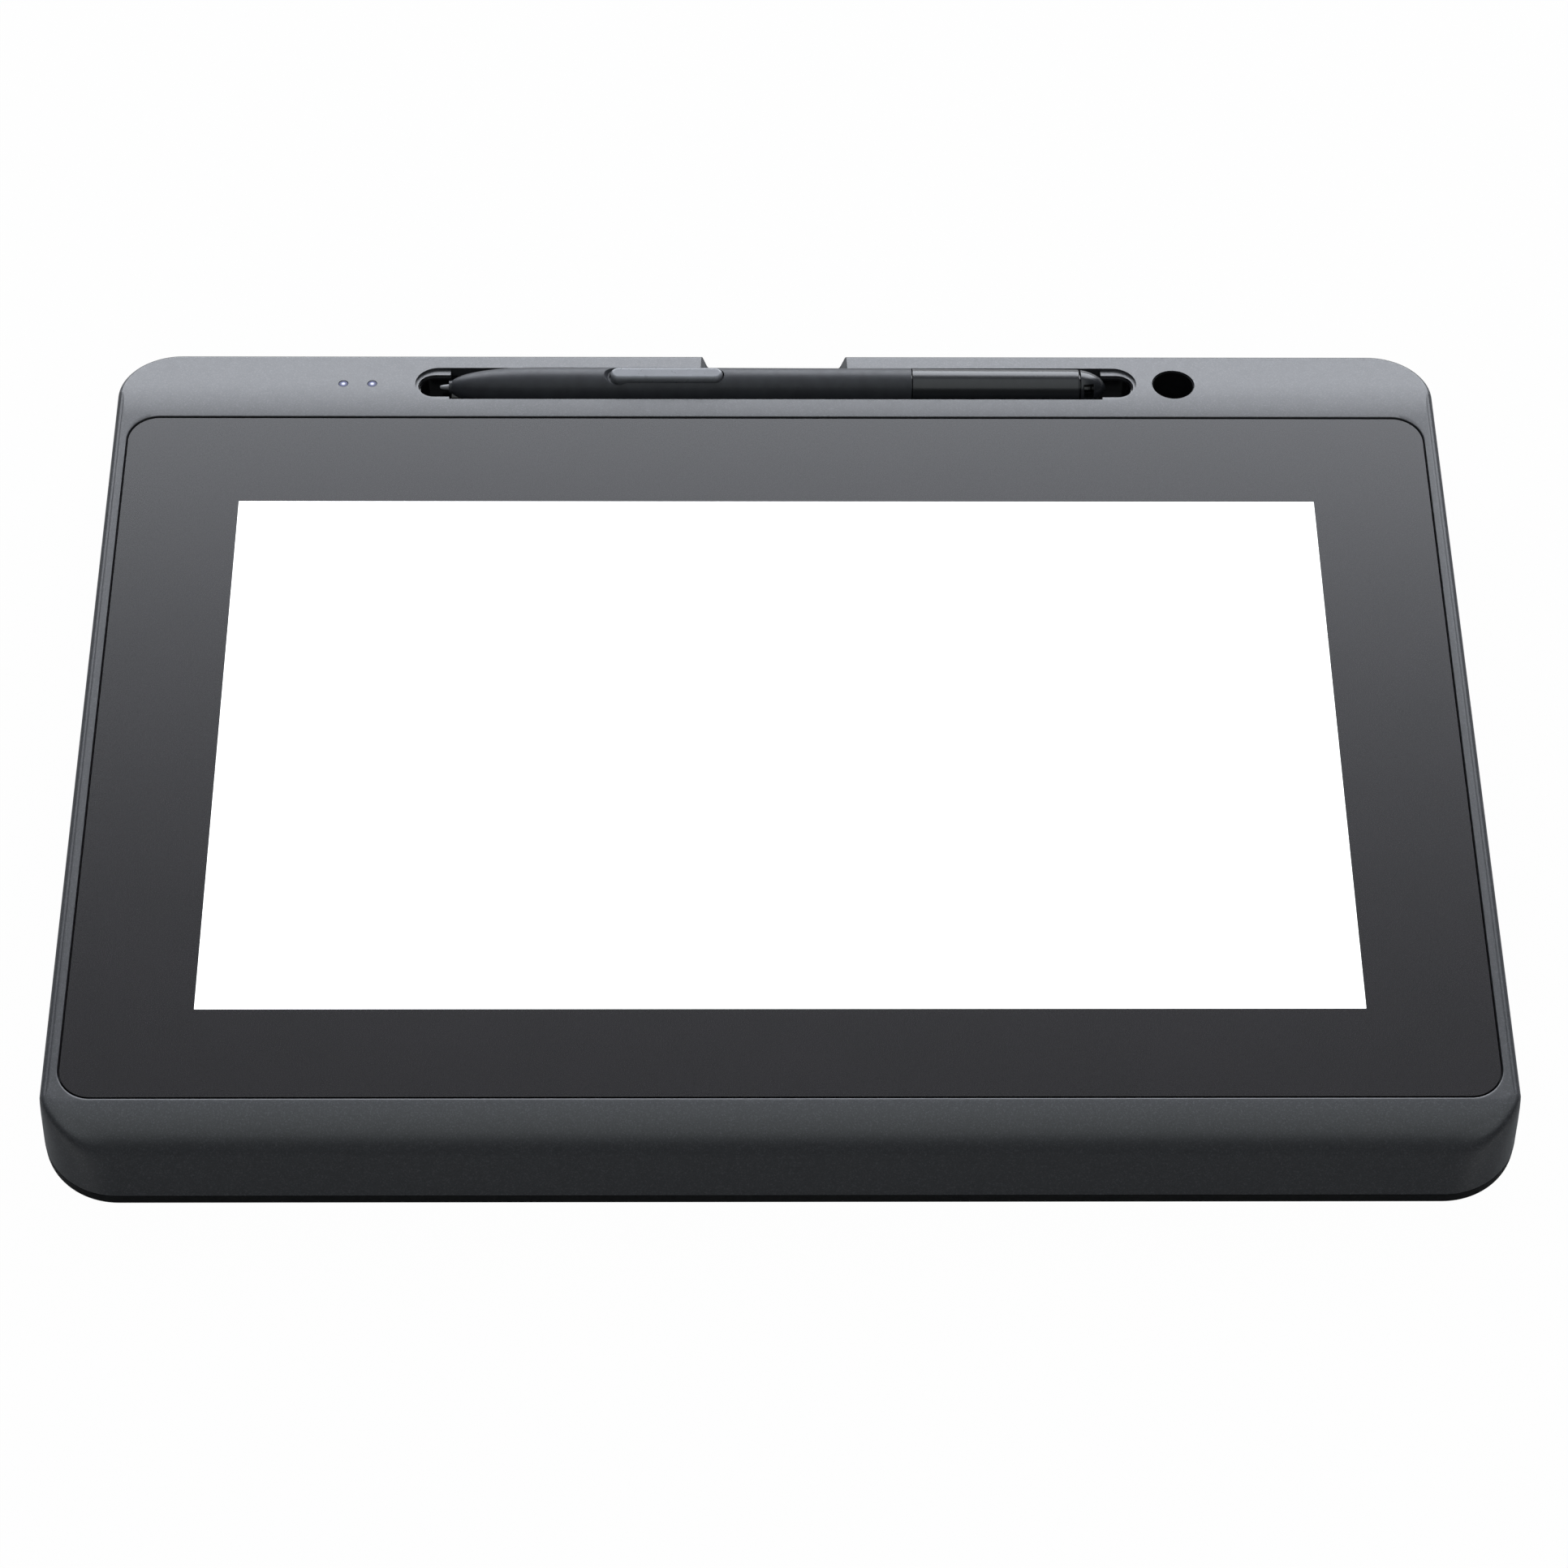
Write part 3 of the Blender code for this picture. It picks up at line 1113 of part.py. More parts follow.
def power_jack():
    """The power jack: a block with a round mouth."""
    front = BAY_FRONT - SOCKET_DEPTH
    block = centred((JACK_X, SOCKET_Z), *JACK_SIZE)
    jack = prism("power_jack", block, "Y", front, BAY_FRONT, "black_moulding")
    mouth = circle((JACK_X, SOCKET_Z), JACK_BORE)
    cut(jack, prism("power_jack_mouth", mouth, "Y", front + SOCKET_BACK, BAY_FRONT + OVERRUN))
    return jack


def ribbon(name, x, start, z):
    """A flat ribbon that runs back from a layer of the display, down and forward to the main board."""
    half = RIBBON_THICKNESS / 2
    back = CHASSIS_REAR + RIBBON_CLEARANCE
    landing = MAIN_BOARD_REAR - RIBBON_LANDING
    low = BOARD_TOP + FIT + half
    upper = [(start, z + half), (back + half, z + half), (back + half, low - half), (landing, low - half)]
    lower = [(landing, low + half), (back - half, low + half), (back - half, z - half), (start, z - half)]
    reach = RIBBON_WIDTH / 2
    return prism(name, upper + lower, "X", x - reach, x + reach, "ribbon_amber")


def boards():
    main_board()
    socket("video_socket", VIDEO_X, VIDEO_SIZE, centred, "sheet_steel")
    socket("usb_socket", USB_X, USB_SIZE, capsule, "sheet_steel")
    power_jack()
    panel_middle = PANEL_BOTTOM + PANEL_THICKNESS / 2
    sensor_middle = SENSOR_BOTTOM + SENSOR_THICKNESS / 2
    ribbon("display_ribbon", RIBBON_X, PANEL_REAR + FIT, panel_middle)
    ribbon("sensor_ribbon", -RIBBON_X, PANEL_REAR + SENSOR_RIM + FIT, sensor_middle)


# Power button, lights and lock


def button_board():
    """The small board under the rear band, with the switch of the power button on it."""
    low, high = button_board_box()
    board = prism("button_board", rectangle(low, high), "Z", BOARD_BOTTOM, BOARD_TOP, "board_green")
    under, over = BOARD_BOTTOM - OVERRUN, BOARD_TOP + OVERRUN
    for number, (x, y) in enumerate(button_screw_places()):
        cut(board, pilot(f"button_hole_{number}", x, y, under, over, SMALL_SCREW_RADIUS + FIT))
    for number, centre in enumerate(button_screw_places(), start=1):
        small_screw(f"button_screw_{number}", centre, BOARD_TOP + BOND, FLOOR_TOP + 2 * FIT)
    return board


def button_flange_front():
    """Where the inner flange of the button starts, so that its rear face seats in the wall."""
    return HALF_DEPTH - WALL - DRAFT - BUTTON_WALL_GAP - BUTTON_FLANGE_THICKNESS


def power_switch():
    """The switch behind the power button, with its plunger."""
    face = button_flange_front() - BUTTON_TRAVEL - PLUNGER_GAP
    body_rear = face - PLUNGER_LENGTH
    outline = rectangle(
        (BUTTON_X - POWER_SWITCH_WIDTH / 2, body_rear - POWER_SWITCH_DEPTH),
        (BUTTON_X + POWER_SWITCH_WIDTH / 2, body_rear),
    )
    low = BOARD_TOP + BOND
    switch = prism("power_switch", outline, "Z", low, low + POWER_SWITCH_HEIGHT, "black_moulding")
    tip = circle((BUTTON_X, SLOT_Z), PLUNGER_RADIUS, SMALL_STEPS)
    join(switch, prism("switch_plunger", tip, "Y", body_rear - WELD, face))
    return switch


def power_button():
    """The button in the rear wall. Its flange keeps it in."""
    front = button_flange_front()
    rear = front + BUTTON_FLANGE_THICKNESS
    centre = (BUTTON_X, SLOT_Z)
    cap = capsule(centre, BUTTON_LENGTH, BUTTON_HEIGHT)
    button = prism("power_button", cap, "Y", rear - WELD, rear + BUTTON_DEPTH, "black_moulding")
    length = BUTTON_LENGTH + 2 * BUTTON_FLANGE_RIM
    height = CEILING - TONGUE_TOP - 2 * FIT
    join(button, prism("button_flange", capsule(centre, length, height), "Y", front, rear))
    middle = (BUTTON_X, rear + BUTTON_DEPTH, SLOT_Z)
    carriage("power_button_slide", middle, [button])
    return button


def status_lights():
    """Light guides from the button board up to the rear band."""
    for name, (x, y) in zip(("status_light_left", "status_light_right"), light_places()):
        flange_top = CEILING - FIT
        flange_low = flange_top - LIGHT_FLANGE_THICKNESS
        wide = LIGHT_RADIUS + LIGHT_FLANGE_RIM
        profile = (
            (BOARD_TOP + FIT, LIGHT_RADIUS),
            (flange_low, LIGHT_RADIUS),
            (flange_low, wide),
            (flange_top, wide),
            (flange_top, LIGHT_RADIUS),
            (top_at(y) - LIGHT_SINK, LIGHT_RADIUS),
        )
        turned(name, profile, "Z", (x, y), "light_guide")


def lock_anchor():
    """The steel insert behind the lock slot."""
    rear = HALF_DEPTH - WALL - DRAFT - FIT
    low, high = TONGUE_TOP + FIT, CEILING - FIT
    half = ANCHOR_LENGTH / 2
    outline = rectangle((LOCK_X - half, low), (LOCK_X + half, high))
    anchor = prism("lock_anchor", outline, "Y", rear - ANCHOR_THICKNESS, rear, "sheet_steel")
    slot = capsule((LOCK_X, SLOT_Z), LOCK_LENGTH, LOCK_HEIGHT)
    cut(anchor, prism("anchor_slot", slot, "Y", rear - ANCHOR_THICKNESS - OVERRUN, rear + OVERRUN))
    return anchor


def mount_inserts():
    """Brass inserts for a stand, flush in the underside."""
    low = FOOT_HEIGHT + BOND
    high = STANDOFF_TOP - FIT
    profile = ((low, INSERT_RADIUS), (high, INSERT_RADIUS), (high, INSERT_BORE), (low, INSERT_BORE))
    for number, centre in enumerate(insert_places(), start=1):
        turned(f"mount_insert_{number}", profile, "Z", centre, "brass", hollow=True)


# Pen tray and pen stand


def pen_tray():
    """The glossy insert under the slot, with a trough for the pen and a pit at each end."""
    length = TRAY_LENGTH + 2 * TRAY_WALL
    outline = capsule((0, TRAY_Y), length, TRAY_WIDTH + 2 * TRAY_WALL)
    tray = prism("pen_tray", outline, "Z", TRAY_BOTTOM, TRAY_TOP, "gloss_black")
    trough = circle((TRAY_Y, PEN_Z), TROUGH_RADIUS, PEN_STEPS * 2)
    half = WELL_LENGTH / 2
    cut(
        tray,
        prism("tray_trough", trough, "X", -half, half),
        prism("tray_end_pits", pit_outline(), "Z", TROUGH_FLOOR + PIT_FLOOR, TRAY_TOP + OVERRUN),
        prism("tray_notch", notch_outline(), "Y", TRAY_Y, HALF_DEPTH),
    )
    return tray


def pen_stand_cup():
    """The cup below the round hole, in which the pen stands upright."""
    low, high = FLOOR_TOP + FIT, CEILING - FIT
    outer = CUP_BORE + CUP_WALL
    profile = ((low + CUP_FLOOR, CUP_BORE), (high, CUP_BORE), (high, outer), (low, outer))
    return turned("pen_stand_cup", profile, "Z", (STAND_X, STAND_Y), "gloss_black", steps=PEN_STEPS)


# Pen


def nose_profile():
    """The nose swells from its flat tip to the full grip, along a superellipse."""
    points = [(NOSE_X, NOSE_RADIUS)]
    for step in range(1, NOSE_STEPS + 1):
        share = (step / NOSE_STEPS) ** 2
        swell = (1 - (1 - share) ** NOSE_EXPONENT) ** (1 / NOSE_EXPONENT)
        points.append((NOSE_X + NOSE_LENGTH * share, max(PEN_RADIUS * swell, NOSE_RADIUS)))
    return points


def pen_grip():
    """The front of the pen: grip and nose in one, hollow for the nib and the core."""
    bore = NIB_RADIUS + NIB_CLEARANCE
    outer = nose_profile() + [(GRIP_REAR_X, GRIP_REAR_RADIUS)]
    inner = [
        (GRIP_REAR_X, PEN_BORE_RADIUS),
        (CORE_FRONT_X, PEN_BORE_RADIUS),
        (NOSE_X + NOSE_BORE_LENGTH, bore),
        (NOSE_X, bore),
    ]
    grip = turned("pen_grip", outer + inner, "X", PEN_AXIS, "grip_rubber", hollow=True, steps=PEN_STEPS)
    slot = capsule((SWITCH_X, TRAY_Y), SWITCH_LENGTH + 2 * FIT, SWITCH_WIDTH + 2 * FIT)
    crest = PEN_Z + PEN_RADIUS
    dish_x = SWITCH_X - (SWITCH_LENGTH - SWITCH_WIDTH) / 2
    dish = circle((dish_x, TRAY_Y), DISH_RADIUS, PEN_STEPS)
    cut(
        grip,
        prism("switch_slot", slot, "Z", PEN_Z, crest + OVERRUN),
        prism("finger_dish", dish, "Z", crest - DISH_DEPTH, crest + OVERRUN),
    )
    return grip


def pen_rear_barrel():
    """The rear of the pen: a tapered tube with a spigot in the grip."""
    spigot_x = BARREL_FRONT_X - SPIGOT_LENGTH
    profile = (
        (spigot_x, SPIGOT_RADIUS),
        (BARREL_FRONT_X, SPIGOT_RADIUS),
        (BARREL_FRONT_X, BARREL_FRONT_RADIUS),
        (BARREL_REAR_X, BARREL_REAR_RADIUS),
        (BARREL_REAR_X, PEN_BORE_RADIUS),
        (BARREL_FRONT_X + SPIGOT_WALL, PEN_BORE_RADIUS),
        (BARREL_FRONT_X, SPIGOT_BORE),
        (spigot_x, SPIGOT_BORE),
    )
    name = "pen_rear_barrel"
    return turned(name, profile, "X", PEN_AXIS, "barrel_plastic", hollow=True, steps=PEN_STEPS)


def pen_end_cap():
    """The domed end of the pen, with a slot for a tether."""
    profile = [(CAP_FRONT_X - SPIGOT_LENGTH, SPIGOT_RADIUS), (CAP_FRONT_X, SPIGOT_RADIUS)]
    profile.append((CAP_FRONT_X, CAP_RADIUS))
    for step in range(DOME_STEPS):
        turn = QUARTER * step / DOME_STEPS
        x = CAP_REAR_X - CAP_DOME * (1 - math.sin(turn))
        profile.append((x, CAP_RADIUS * math.cos(turn)))
    profile.append((CAP_REAR_X, CAP_RADIUS * math.sin(QUARTER / DOME_STEPS) / 2))
    cap = turned("pen_end_cap", profile, "X", PEN_AXIS, "grip_rubber", steps=PEN_STEPS)
    slot_rear = CAP_REAR_X - TETHER_SLOT_LAND
    half = CAP_RADIUS * TETHER_HEIGHT_SHARE
    reach = CAP_RADIUS + OVERRUN
    loops = []
    for x in (slot_rear - TETHER_SLOT_WIDTH, slot_rear):
        loop = []
        for across, along in rectangle((-half, -reach), (half, reach)):
            y = along * math.cos(TETHER_TILT) + across * math.sin(TETHER_TILT)
            z = along * math.sin(TETHER_TILT) - across * math.cos(TETHER_TILT)
            loop.append((x, TRAY_Y - y, PEN_Z + z))
        loops.append(loop)
    cut(cap, loft("tether_slot", loops))
    return cap


def pen_switch():
    """The side switch of the pen, with a flange that keeps it in its slot."""
    centre = (SWITCH_X, TRAY_Y)
    low = PEN_Z + PEN_BORE_RADIUS - SWITCH_FLANGE_SINK
    top = SWITCH_TOP
    seat = low + SWITCH_FLANGE_THICKNESS
    outer = capsule(centre, SWITCH_LENGTH, SWITCH_WIDTH)
    crown = capsule(centre, SWITCH_LENGTH - 2 * SWITCH_CHAMFER, SWITCH_WIDTH - 2 * SWITCH_CHAMFER)
    loops = [level(outer, seat - BOND), level(outer, top - SWITCH_CHAMFER), level(crown, top)]
    switch = loft("pen_switch", loops, "switch_grey")
    flange = capsule(centre, SWITCH_LENGTH + 2 * SWITCH_FLANGE_RIM, SWITCH_FLANGE_WIDTH)
    join(switch, prism("switch_flange", flange, "Z", low, seat))
    return switch


def pen_nib():
    tip = PEN_TIP_X
    profile = (
        (tip, NIB_TIP_RADIUS),
        (tip + NIB_TIP_RADIUS, NIB_RADIUS),
        (CORE_FRONT_X - NIB_CORE_GAP, NIB_RADIUS),
    )
    return turned("pen_nib", profile, "X", PEN_AXIS, "nib_plastic", steps=SMALL_STEPS)


def pen_core():
    """The strip inside the pen that carries its coil and its circuit."""
    end = CAP_FRONT_X - SPIGOT_LENGTH - CORE_END_GAP
    half = SPIGOT_BORE * CORE_WIDTH_SHARE
    low, high = PEN_Z - SPIGOT_BORE * CORE_DEPTH_SHARE, PEN_Z + SPIGOT_BORE * CORE_TOP_SHARE
    outline = rectangle((TRAY_Y - half, low), (TRAY_Y + half, high))
    return prism("pen_core", outline, "X", CORE_FRONT_X, end, "board_green")


def pen():
    middle_x = (PEN_TIP_X + CAP_REAR_X) / 2
    pieces = [pen_grip(), pen_rear_barrel(), pen_end_cap(), pen_core()]
    lift = carriage("pen_lift", (middle_x, TRAY_Y, PEN_Z), pieces)
    carriage("pen_switch_slide", (SWITCH_X, TRAY_Y, SWITCH_TOP), [pen_switch()], lift)
    carriage("pen_nib_slide", (PEN_TIP_X, TRAY_Y, PEN_Z), [pen_nib()], lift)


def main():
    for old in list(bpy.data.objects):
        bpy.data.objects.remove(old, do_unlink=True)
    top_cover()
    rear_band("rear_band_left", -1)
    rear_band("rear_band_right", 1)
    bottom_cover()
    cover_x, cover_y = 0, (BAY_FRONT + HALF_DEPTH) / 2
    carriage("cable_cover_slide", (cover_x, cover_y, FOOT_HEIGHT), [cable_cover()])
    feet()
    housing_screws()
    cover_glass()
    glass_tape()
    display()
    chassis_plate()
    boards()
    button_board()
    power_switch()
    power_button()
    status_lights()
    lock_anchor()
    mount_inserts()
    pen_tray()
    pen_stand_cup()
    pen()


main()
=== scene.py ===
# %% [markdown]
# # A counter signature pad
# This lesson dresses a finished CAD model of a signature pad: a flat housing with a glass face, a lit
# window, and a pen that lies in a tray behind the glass. The CAD model is the frame. It stays where it
# is, and every piece made here either gives a CAD node its finish or stands for it with a finer mesh.

import math

import bmesh
import bpy
from mathutils import Matrix, Vector


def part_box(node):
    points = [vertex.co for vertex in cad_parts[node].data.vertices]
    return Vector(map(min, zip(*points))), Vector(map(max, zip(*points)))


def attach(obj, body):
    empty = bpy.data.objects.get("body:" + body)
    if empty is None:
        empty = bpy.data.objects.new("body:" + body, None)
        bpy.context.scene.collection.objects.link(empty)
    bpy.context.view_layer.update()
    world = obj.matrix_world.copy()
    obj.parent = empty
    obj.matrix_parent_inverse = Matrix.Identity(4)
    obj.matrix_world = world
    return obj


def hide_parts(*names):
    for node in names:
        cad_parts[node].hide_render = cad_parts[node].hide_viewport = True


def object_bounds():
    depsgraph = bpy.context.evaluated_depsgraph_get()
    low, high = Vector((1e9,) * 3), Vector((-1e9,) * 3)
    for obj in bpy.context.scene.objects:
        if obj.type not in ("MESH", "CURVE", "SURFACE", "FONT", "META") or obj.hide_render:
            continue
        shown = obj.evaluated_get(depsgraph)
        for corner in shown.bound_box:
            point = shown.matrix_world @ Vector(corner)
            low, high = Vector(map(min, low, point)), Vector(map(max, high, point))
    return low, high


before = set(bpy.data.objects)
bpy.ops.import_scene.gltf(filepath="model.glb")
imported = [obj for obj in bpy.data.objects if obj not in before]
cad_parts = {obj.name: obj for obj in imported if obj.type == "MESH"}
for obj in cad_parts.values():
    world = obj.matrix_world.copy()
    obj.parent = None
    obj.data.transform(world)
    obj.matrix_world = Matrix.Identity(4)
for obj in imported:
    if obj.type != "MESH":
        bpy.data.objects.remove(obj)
cad_low, cad_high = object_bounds()
print("CAD box in mm:", [round(1000 * (high - low), 2) for low, high in zip(cad_low, cad_high)])

# %% [markdown]
# ## The camera
# The photograph was taken from in front and above with a long lens, so the sides of the pad run almost
# parallel. Its place was found by matching the corners of the lit window, whose size is known. Three
# turns give the camera's right, forward and up, and its matrix is put together from these three axes.

# %% Camera
FOCAL_PIXELS, FRAME_PIXELS = 5248.24, 1932
CAMERA_PLACE = Vector((-0.009235, -0.50833, 0.69715))
YAW, PITCH, ROLL = -0.020555, -0.942708, -0.016617


def added(name, data):
    """A new object in the scene."""
    made = bpy.data.objects.new(name, data)
    bpy.context.scene.collection.objects.link(made)
    return made


turned = Matrix.Rotation(YAW, 3, "Z") @ Matrix.Rotation(PITCH, 3, "X") @ Matrix.Rotation(ROLL, 3, "Y")
right, forward, up = (turned @ Vector(axis) for axis in ((1, 0, 0), (0, 1, 0), (0, 0, 1)))
camera = added("camera", bpy.data.cameras.new("camera"))
camera.data.sensor_width = 36.0
camera.data.lens = FOCAL_PIXELS * camera.data.sensor_width / FRAME_PIXELS
camera.data.clip_start, camera.data.clip_end = 0.01, 50.0
camera.matrix_world = Matrix.Translation(CAMERA_PLACE) @ Matrix((right, up, -forward)).transposed().to_4x4()
bpy.context.scene.camera = camera
print("lens in mm:", round(camera.data.lens, 2))

# %% [markdown]
# ## Node helpers
# Every finish here is built from the same few steps: a pattern read from the piece's own coordinates,
# a range or a pair of colours that it drives, and a bump. Each step gets one helper, so that a finish
# reads as a short recipe. Object coordinates are in metres, so a scale of 4000 gives quarter
# millimetre grain.

# %% Node helpers


def feed(tree, node, inputs):
    """Links a node's inputs to their sources, a list to one input, or sets their values."""
    for key, value in dict(inputs).items():
        for source in value if isinstance(value, list) else [value]:
            if isinstance(source, bpy.types.NodeSocket):
                tree.links.new(source, node.inputs[key])
            else:
                node.inputs[key].default_value = source


def put(tree, kind, inputs=(), **settings):
    """A new node with its settings and its inputs."""
    node = tree.nodes.new(kind)
    for key, value in settings.items():
        setattr(node, key, value)
    feed(tree, node, inputs)
    return node


def output(tree, kind, inputs=(), **settings):
    """The first output of a new node."""
    return put(tree, kind, inputs, **settings).outputs[0]


def new_finish(name):
    """A new material, its tree and its shader."""
    made = bpy.data.materials.new(name)
    made.use_nodes = True
    print("finish:", name)
    return made, made.node_tree, made.node_tree.nodes["Principled BSDF"]


def drive(tree, shader, **inputs):
    """Feeds a shader whose inputs are named with underscores."""
    feed(tree, shader, {label.replace("_", " "): value for label, value in inputs.items()})


def sides(tree, place):
    """The X, Y and Z of a place."""
    return put(tree, "ShaderNodeSeparateXYZ", {"Vector": place}).outputs


def calculate(tree, operation, *values):
    """One step of arithmetic on values or sockets."""
    return output(tree, "ShaderNodeMath", dict(enumerate(values)), operation=operation)


# %% Patterns, ranges and bumps


def coordinates(tree, stretch=(1.0, 1.0, 1.0), shift=(0.0, 0.0, 0.0)):
    """The piece's own coordinates, in metres, stretched and shifted."""
    own = put(tree, "ShaderNodeTexCoord").outputs["Object"]
    return output(tree, "ShaderNodeMapping", {"Vector": own, "Scale": stretch, "Location": shift})


def grain(tree, scale, detail=2.0, stretch=(1.0, 1.0, 1.0)):
    """A soft noise."""
    return output(tree, "ShaderNodeTexNoise", {
        "Vector": coordinates(tree, stretch), "Scale": scale, "Detail": detail, "Roughness": 0.5,
    })


def flakes(tree, scale):
    """Cells with one random tone each, as flakes in paint have."""
    cells = put(tree, "ShaderNodeTexVoronoi", {"Vector": coordinates(tree), "Scale": scale})
    return output(tree, "ShaderNodeSeparateColor", {"Color": cells.outputs["Color"]})


def spread(tree, value, low, high, start=0.3, end=0.7):
    """Maps the middle of a pattern to a range."""
    return output(tree, "ShaderNodeMapRange", {
        "Value": value, "From Min": start, "From Max": end, "To Min": low, "To Max": high,
    })


def tones(tree, value, *stops):
    """A colour ramp from (position, colour) stops."""
    ramp = put(tree, "ShaderNodeValToRGB", {"Fac": value})
    elements = ramp.color_ramp.elements
    while len(elements) < len(stops):
        elements.new(0.5)
    for element, (position, colour) in zip(elements, stops):
        element.position = position
        element.color = (*colour, 1.0)
    return ramp.outputs["Color"]


def relief(tree, shader, *layers):
    """Stacks bumps of (pattern, height in metres, strength) on the shader's normal."""
    bump = {}
    for pattern, height, strength in layers:
        bump |= {"Height": pattern, "Distance": height, "Strength": strength}
        bump["Normal"] = output(tree, "ShaderNodeBump", bump)
    drive(tree, shader, Normal=bump["Normal"])


def two_tone(name, dark, light, rough, colour_grain, gloss_grain, bump_grain, height, strength, **settings):
    """A finish whose colour, gloss and bump each follow a noise of their own."""
    made, tree, shader = new_finish(name)
    drive(
        tree, shader, **settings,
        Base_Color=tones(tree, grain(tree, *colour_grain), (0.3, dark), (0.7, light)),
        Roughness=spread(tree, grain(tree, *gloss_grain), *rough),
    )
    relief(tree, shader, (grain(tree, *bump_grain), height, strength))
    return made


# %% [markdown]
# ## Floor, light and background
# The pad lies on plain white under one wide soft light that hangs low behind it. That light is what the
# glass and the paint mirror towards the camera: full on the rear band, half at the back of the glass and
# hardly at all at the front, which is why the same grey falls from light to dark. A large dim lamp
# overhead keeps the roll of the front edge from going dark at once. The world adds little, and least in
# front and at the sides, where the room is dark.
#
# The floor shows white to the camera, to gloss and to glass, and still takes a soft shadow. Close beside
# the pad gloss sees the real shaded floor, because the pad's own foot keeps the light from it. That shade
# reaches further at the sides than in front.

# %% Floor
FLOOR_REACH = 6.0
WHITE_SHARE = 0.985
SIDE_SHADE, FRONT_SHADE = (0.05, 0.35), (0.02, 0.10)


def mixed(tree, share, first, second):
    """Two shaders in one, with the share of the second."""
    return output(tree, "ShaderNodeMixShader", {0: share, 1: first, 2: second})


floor_mesh = bpy.data.meshes.new("floor")
corners = [(-1, -1), (1, -1), (1, 1), (-1, 1)]
floor_mesh.from_pydata([(FLOOR_REACH * x, FLOOR_REACH * y, 0.0) for x, y in corners], [], [(0, 1, 2, 3)])
added("floor", floor_mesh)

floor_finish, tree, shader = new_finish("white_floor")
floor_gloss = spread(tree, grain(tree, 40.0), 0.86, 0.94)
drive(tree, shader, Base_Color=(0.40, 0.40, 0.40, 1.0), Roughness=floor_gloss)
place = sides(tree, coordinates(tree))
beyond = []
for side, half, shade_range in (("X", cad_high[0], SIDE_SHADE), ("Y", cad_high[1], FRONT_SHADE)):
    away = calculate(tree, "SUBTRACT", calculate(tree, "ABSOLUTE", place[side]), half)
    beyond.append(spread(tree, away, 0.0, 1.0, *shade_range))
outside = calculate(tree, "MAXIMUM", *beyond)
path = put(tree, "ShaderNodeLightPath").outputs
mirrored = calculate(tree, "MAXIMUM", path["Is Glossy Ray"], path["Is Transmission Ray"])
seen = calculate(tree, "MAXIMUM", path["Is Camera Ray"], calculate(tree, "MULTIPLY", mirrored, outside))
white = calculate(tree, "MULTIPLY", seen, WHITE_SHARE)
surface = mixed(tree, white, shader.outputs["BSDF"], output(tree, "ShaderNodeEmission"))
feed(tree, tree.nodes["Material Output"], {"Surface": surface})
floor_mesh.materials.append(floor_finish)
print("floor reaches", FLOOR_REACH, "m each way")

# %% World
world = bpy.data.worlds.new("studio")
bpy.context.scene.world = world
world.use_nodes = True
tree = world.node_tree
toward = sides(tree, put(tree, "ShaderNodeTexCoord").outputs["Generated"])
rearward = spread(tree, toward["Y"], 0.05, 0.14, -0.6, 0.4)
sideways = spread(tree, calculate(tree, "ABSOLUTE", toward["X"]), 1.0, 0.4, 0.35, 0.9)
fill = tree.nodes["Background"]
strength = calculate(tree, "MULTIPLY", rearward, sideways)
feed(tree, fill, {"Color": (0.97, 0.985, 1.0, 1.0), "Strength": strength})
path = put(tree, "ShaderNodeLightPath").outputs
through = calculate(tree, "MAXIMUM", path["Is Camera Ray"], path["Is Transmission Ray"])
bright = output(tree, "ShaderNodeBackground", {"Strength": 1.0})
surface = mixed(tree, through, fill.outputs["Background"], bright)
feed(tree, tree.nodes["World Output"], {"Surface": surface})
bpy.context.scene.view_settings.view_transform = "Standard"
print("world:", world.name, "with", len(tree.nodes), "nodes")

# %% Lamps
LIGHT_ELEVATION, LIGHT_DISTANCE = math.radians(27.4), 2.0


def soft_light(name, place, width, height, radiance, colour):
    """A rectangular lamp that faces the pad with the given radiance."""
    data = bpy.data.lights.new(name, "AREA")
    data.shape, data.size, data.size_y, data.color = "RECTANGLE", width, height, colour
    data.energy = radiance * math.pi * width * height
    lamp = added(name, data)
    lamp.location = place
    lamp.rotation_euler = (Vector((0, 0, 0)) - Vector(place)).to_track_quat("-Z", "Y").to_euler()
    print("lamp:", name, width, "by", height, "m")


low_behind = (0.05, LIGHT_DISTANCE * math.cos(LIGHT_ELEVATION), LIGHT_DISTANCE * math.sin(LIGHT_ELEVATION))
soft_light("rear_softbox", low_behind, width=2.68, height=1.50, radiance=6.5, colour=(0.90, 0.935, 1.0))
soft_light("overhead", (0.0, -0.5, 2.1), width=2.6, height=2.6, radiance=1.0, colour=(0.92, 0.98, 1.0))

# %% [markdown]
# ## Painted housing
# The upper half of the housing is moulded and sprayed a dark warm grey with very fine metal flake. Up
# close it shows a slight orange peel and single bright flakes. Cells of random tone stand for the
# flakes, and a soft noise for the peel. The bumps stay under a hundredth of a millimetre.

# %% Grey paint
grey_paint, tree, shader = new_finish("grey_flake_paint")
flake_tones = (0.0, (0.037, 0.038, 0.042)), (0.8, (0.048, 0.0495, 0.054)), (1.0, (0.073, 0.075, 0.082))
drive(
    tree, shader, Metallic=0.0, IOR=1.5, Specular_IOR_Level=0.52,
    Base_Color=tones(tree, flakes(tree, 5200.0), *flake_tones),
    Roughness=spread(tree, grain(tree, 900.0), 0.33, 0.39),
)
relief(tree, shader, (grain(tree, 2600.0, 3.0), 0.00001, 0.25), (grain(tree, 420.0), 0.00002, 0.12))

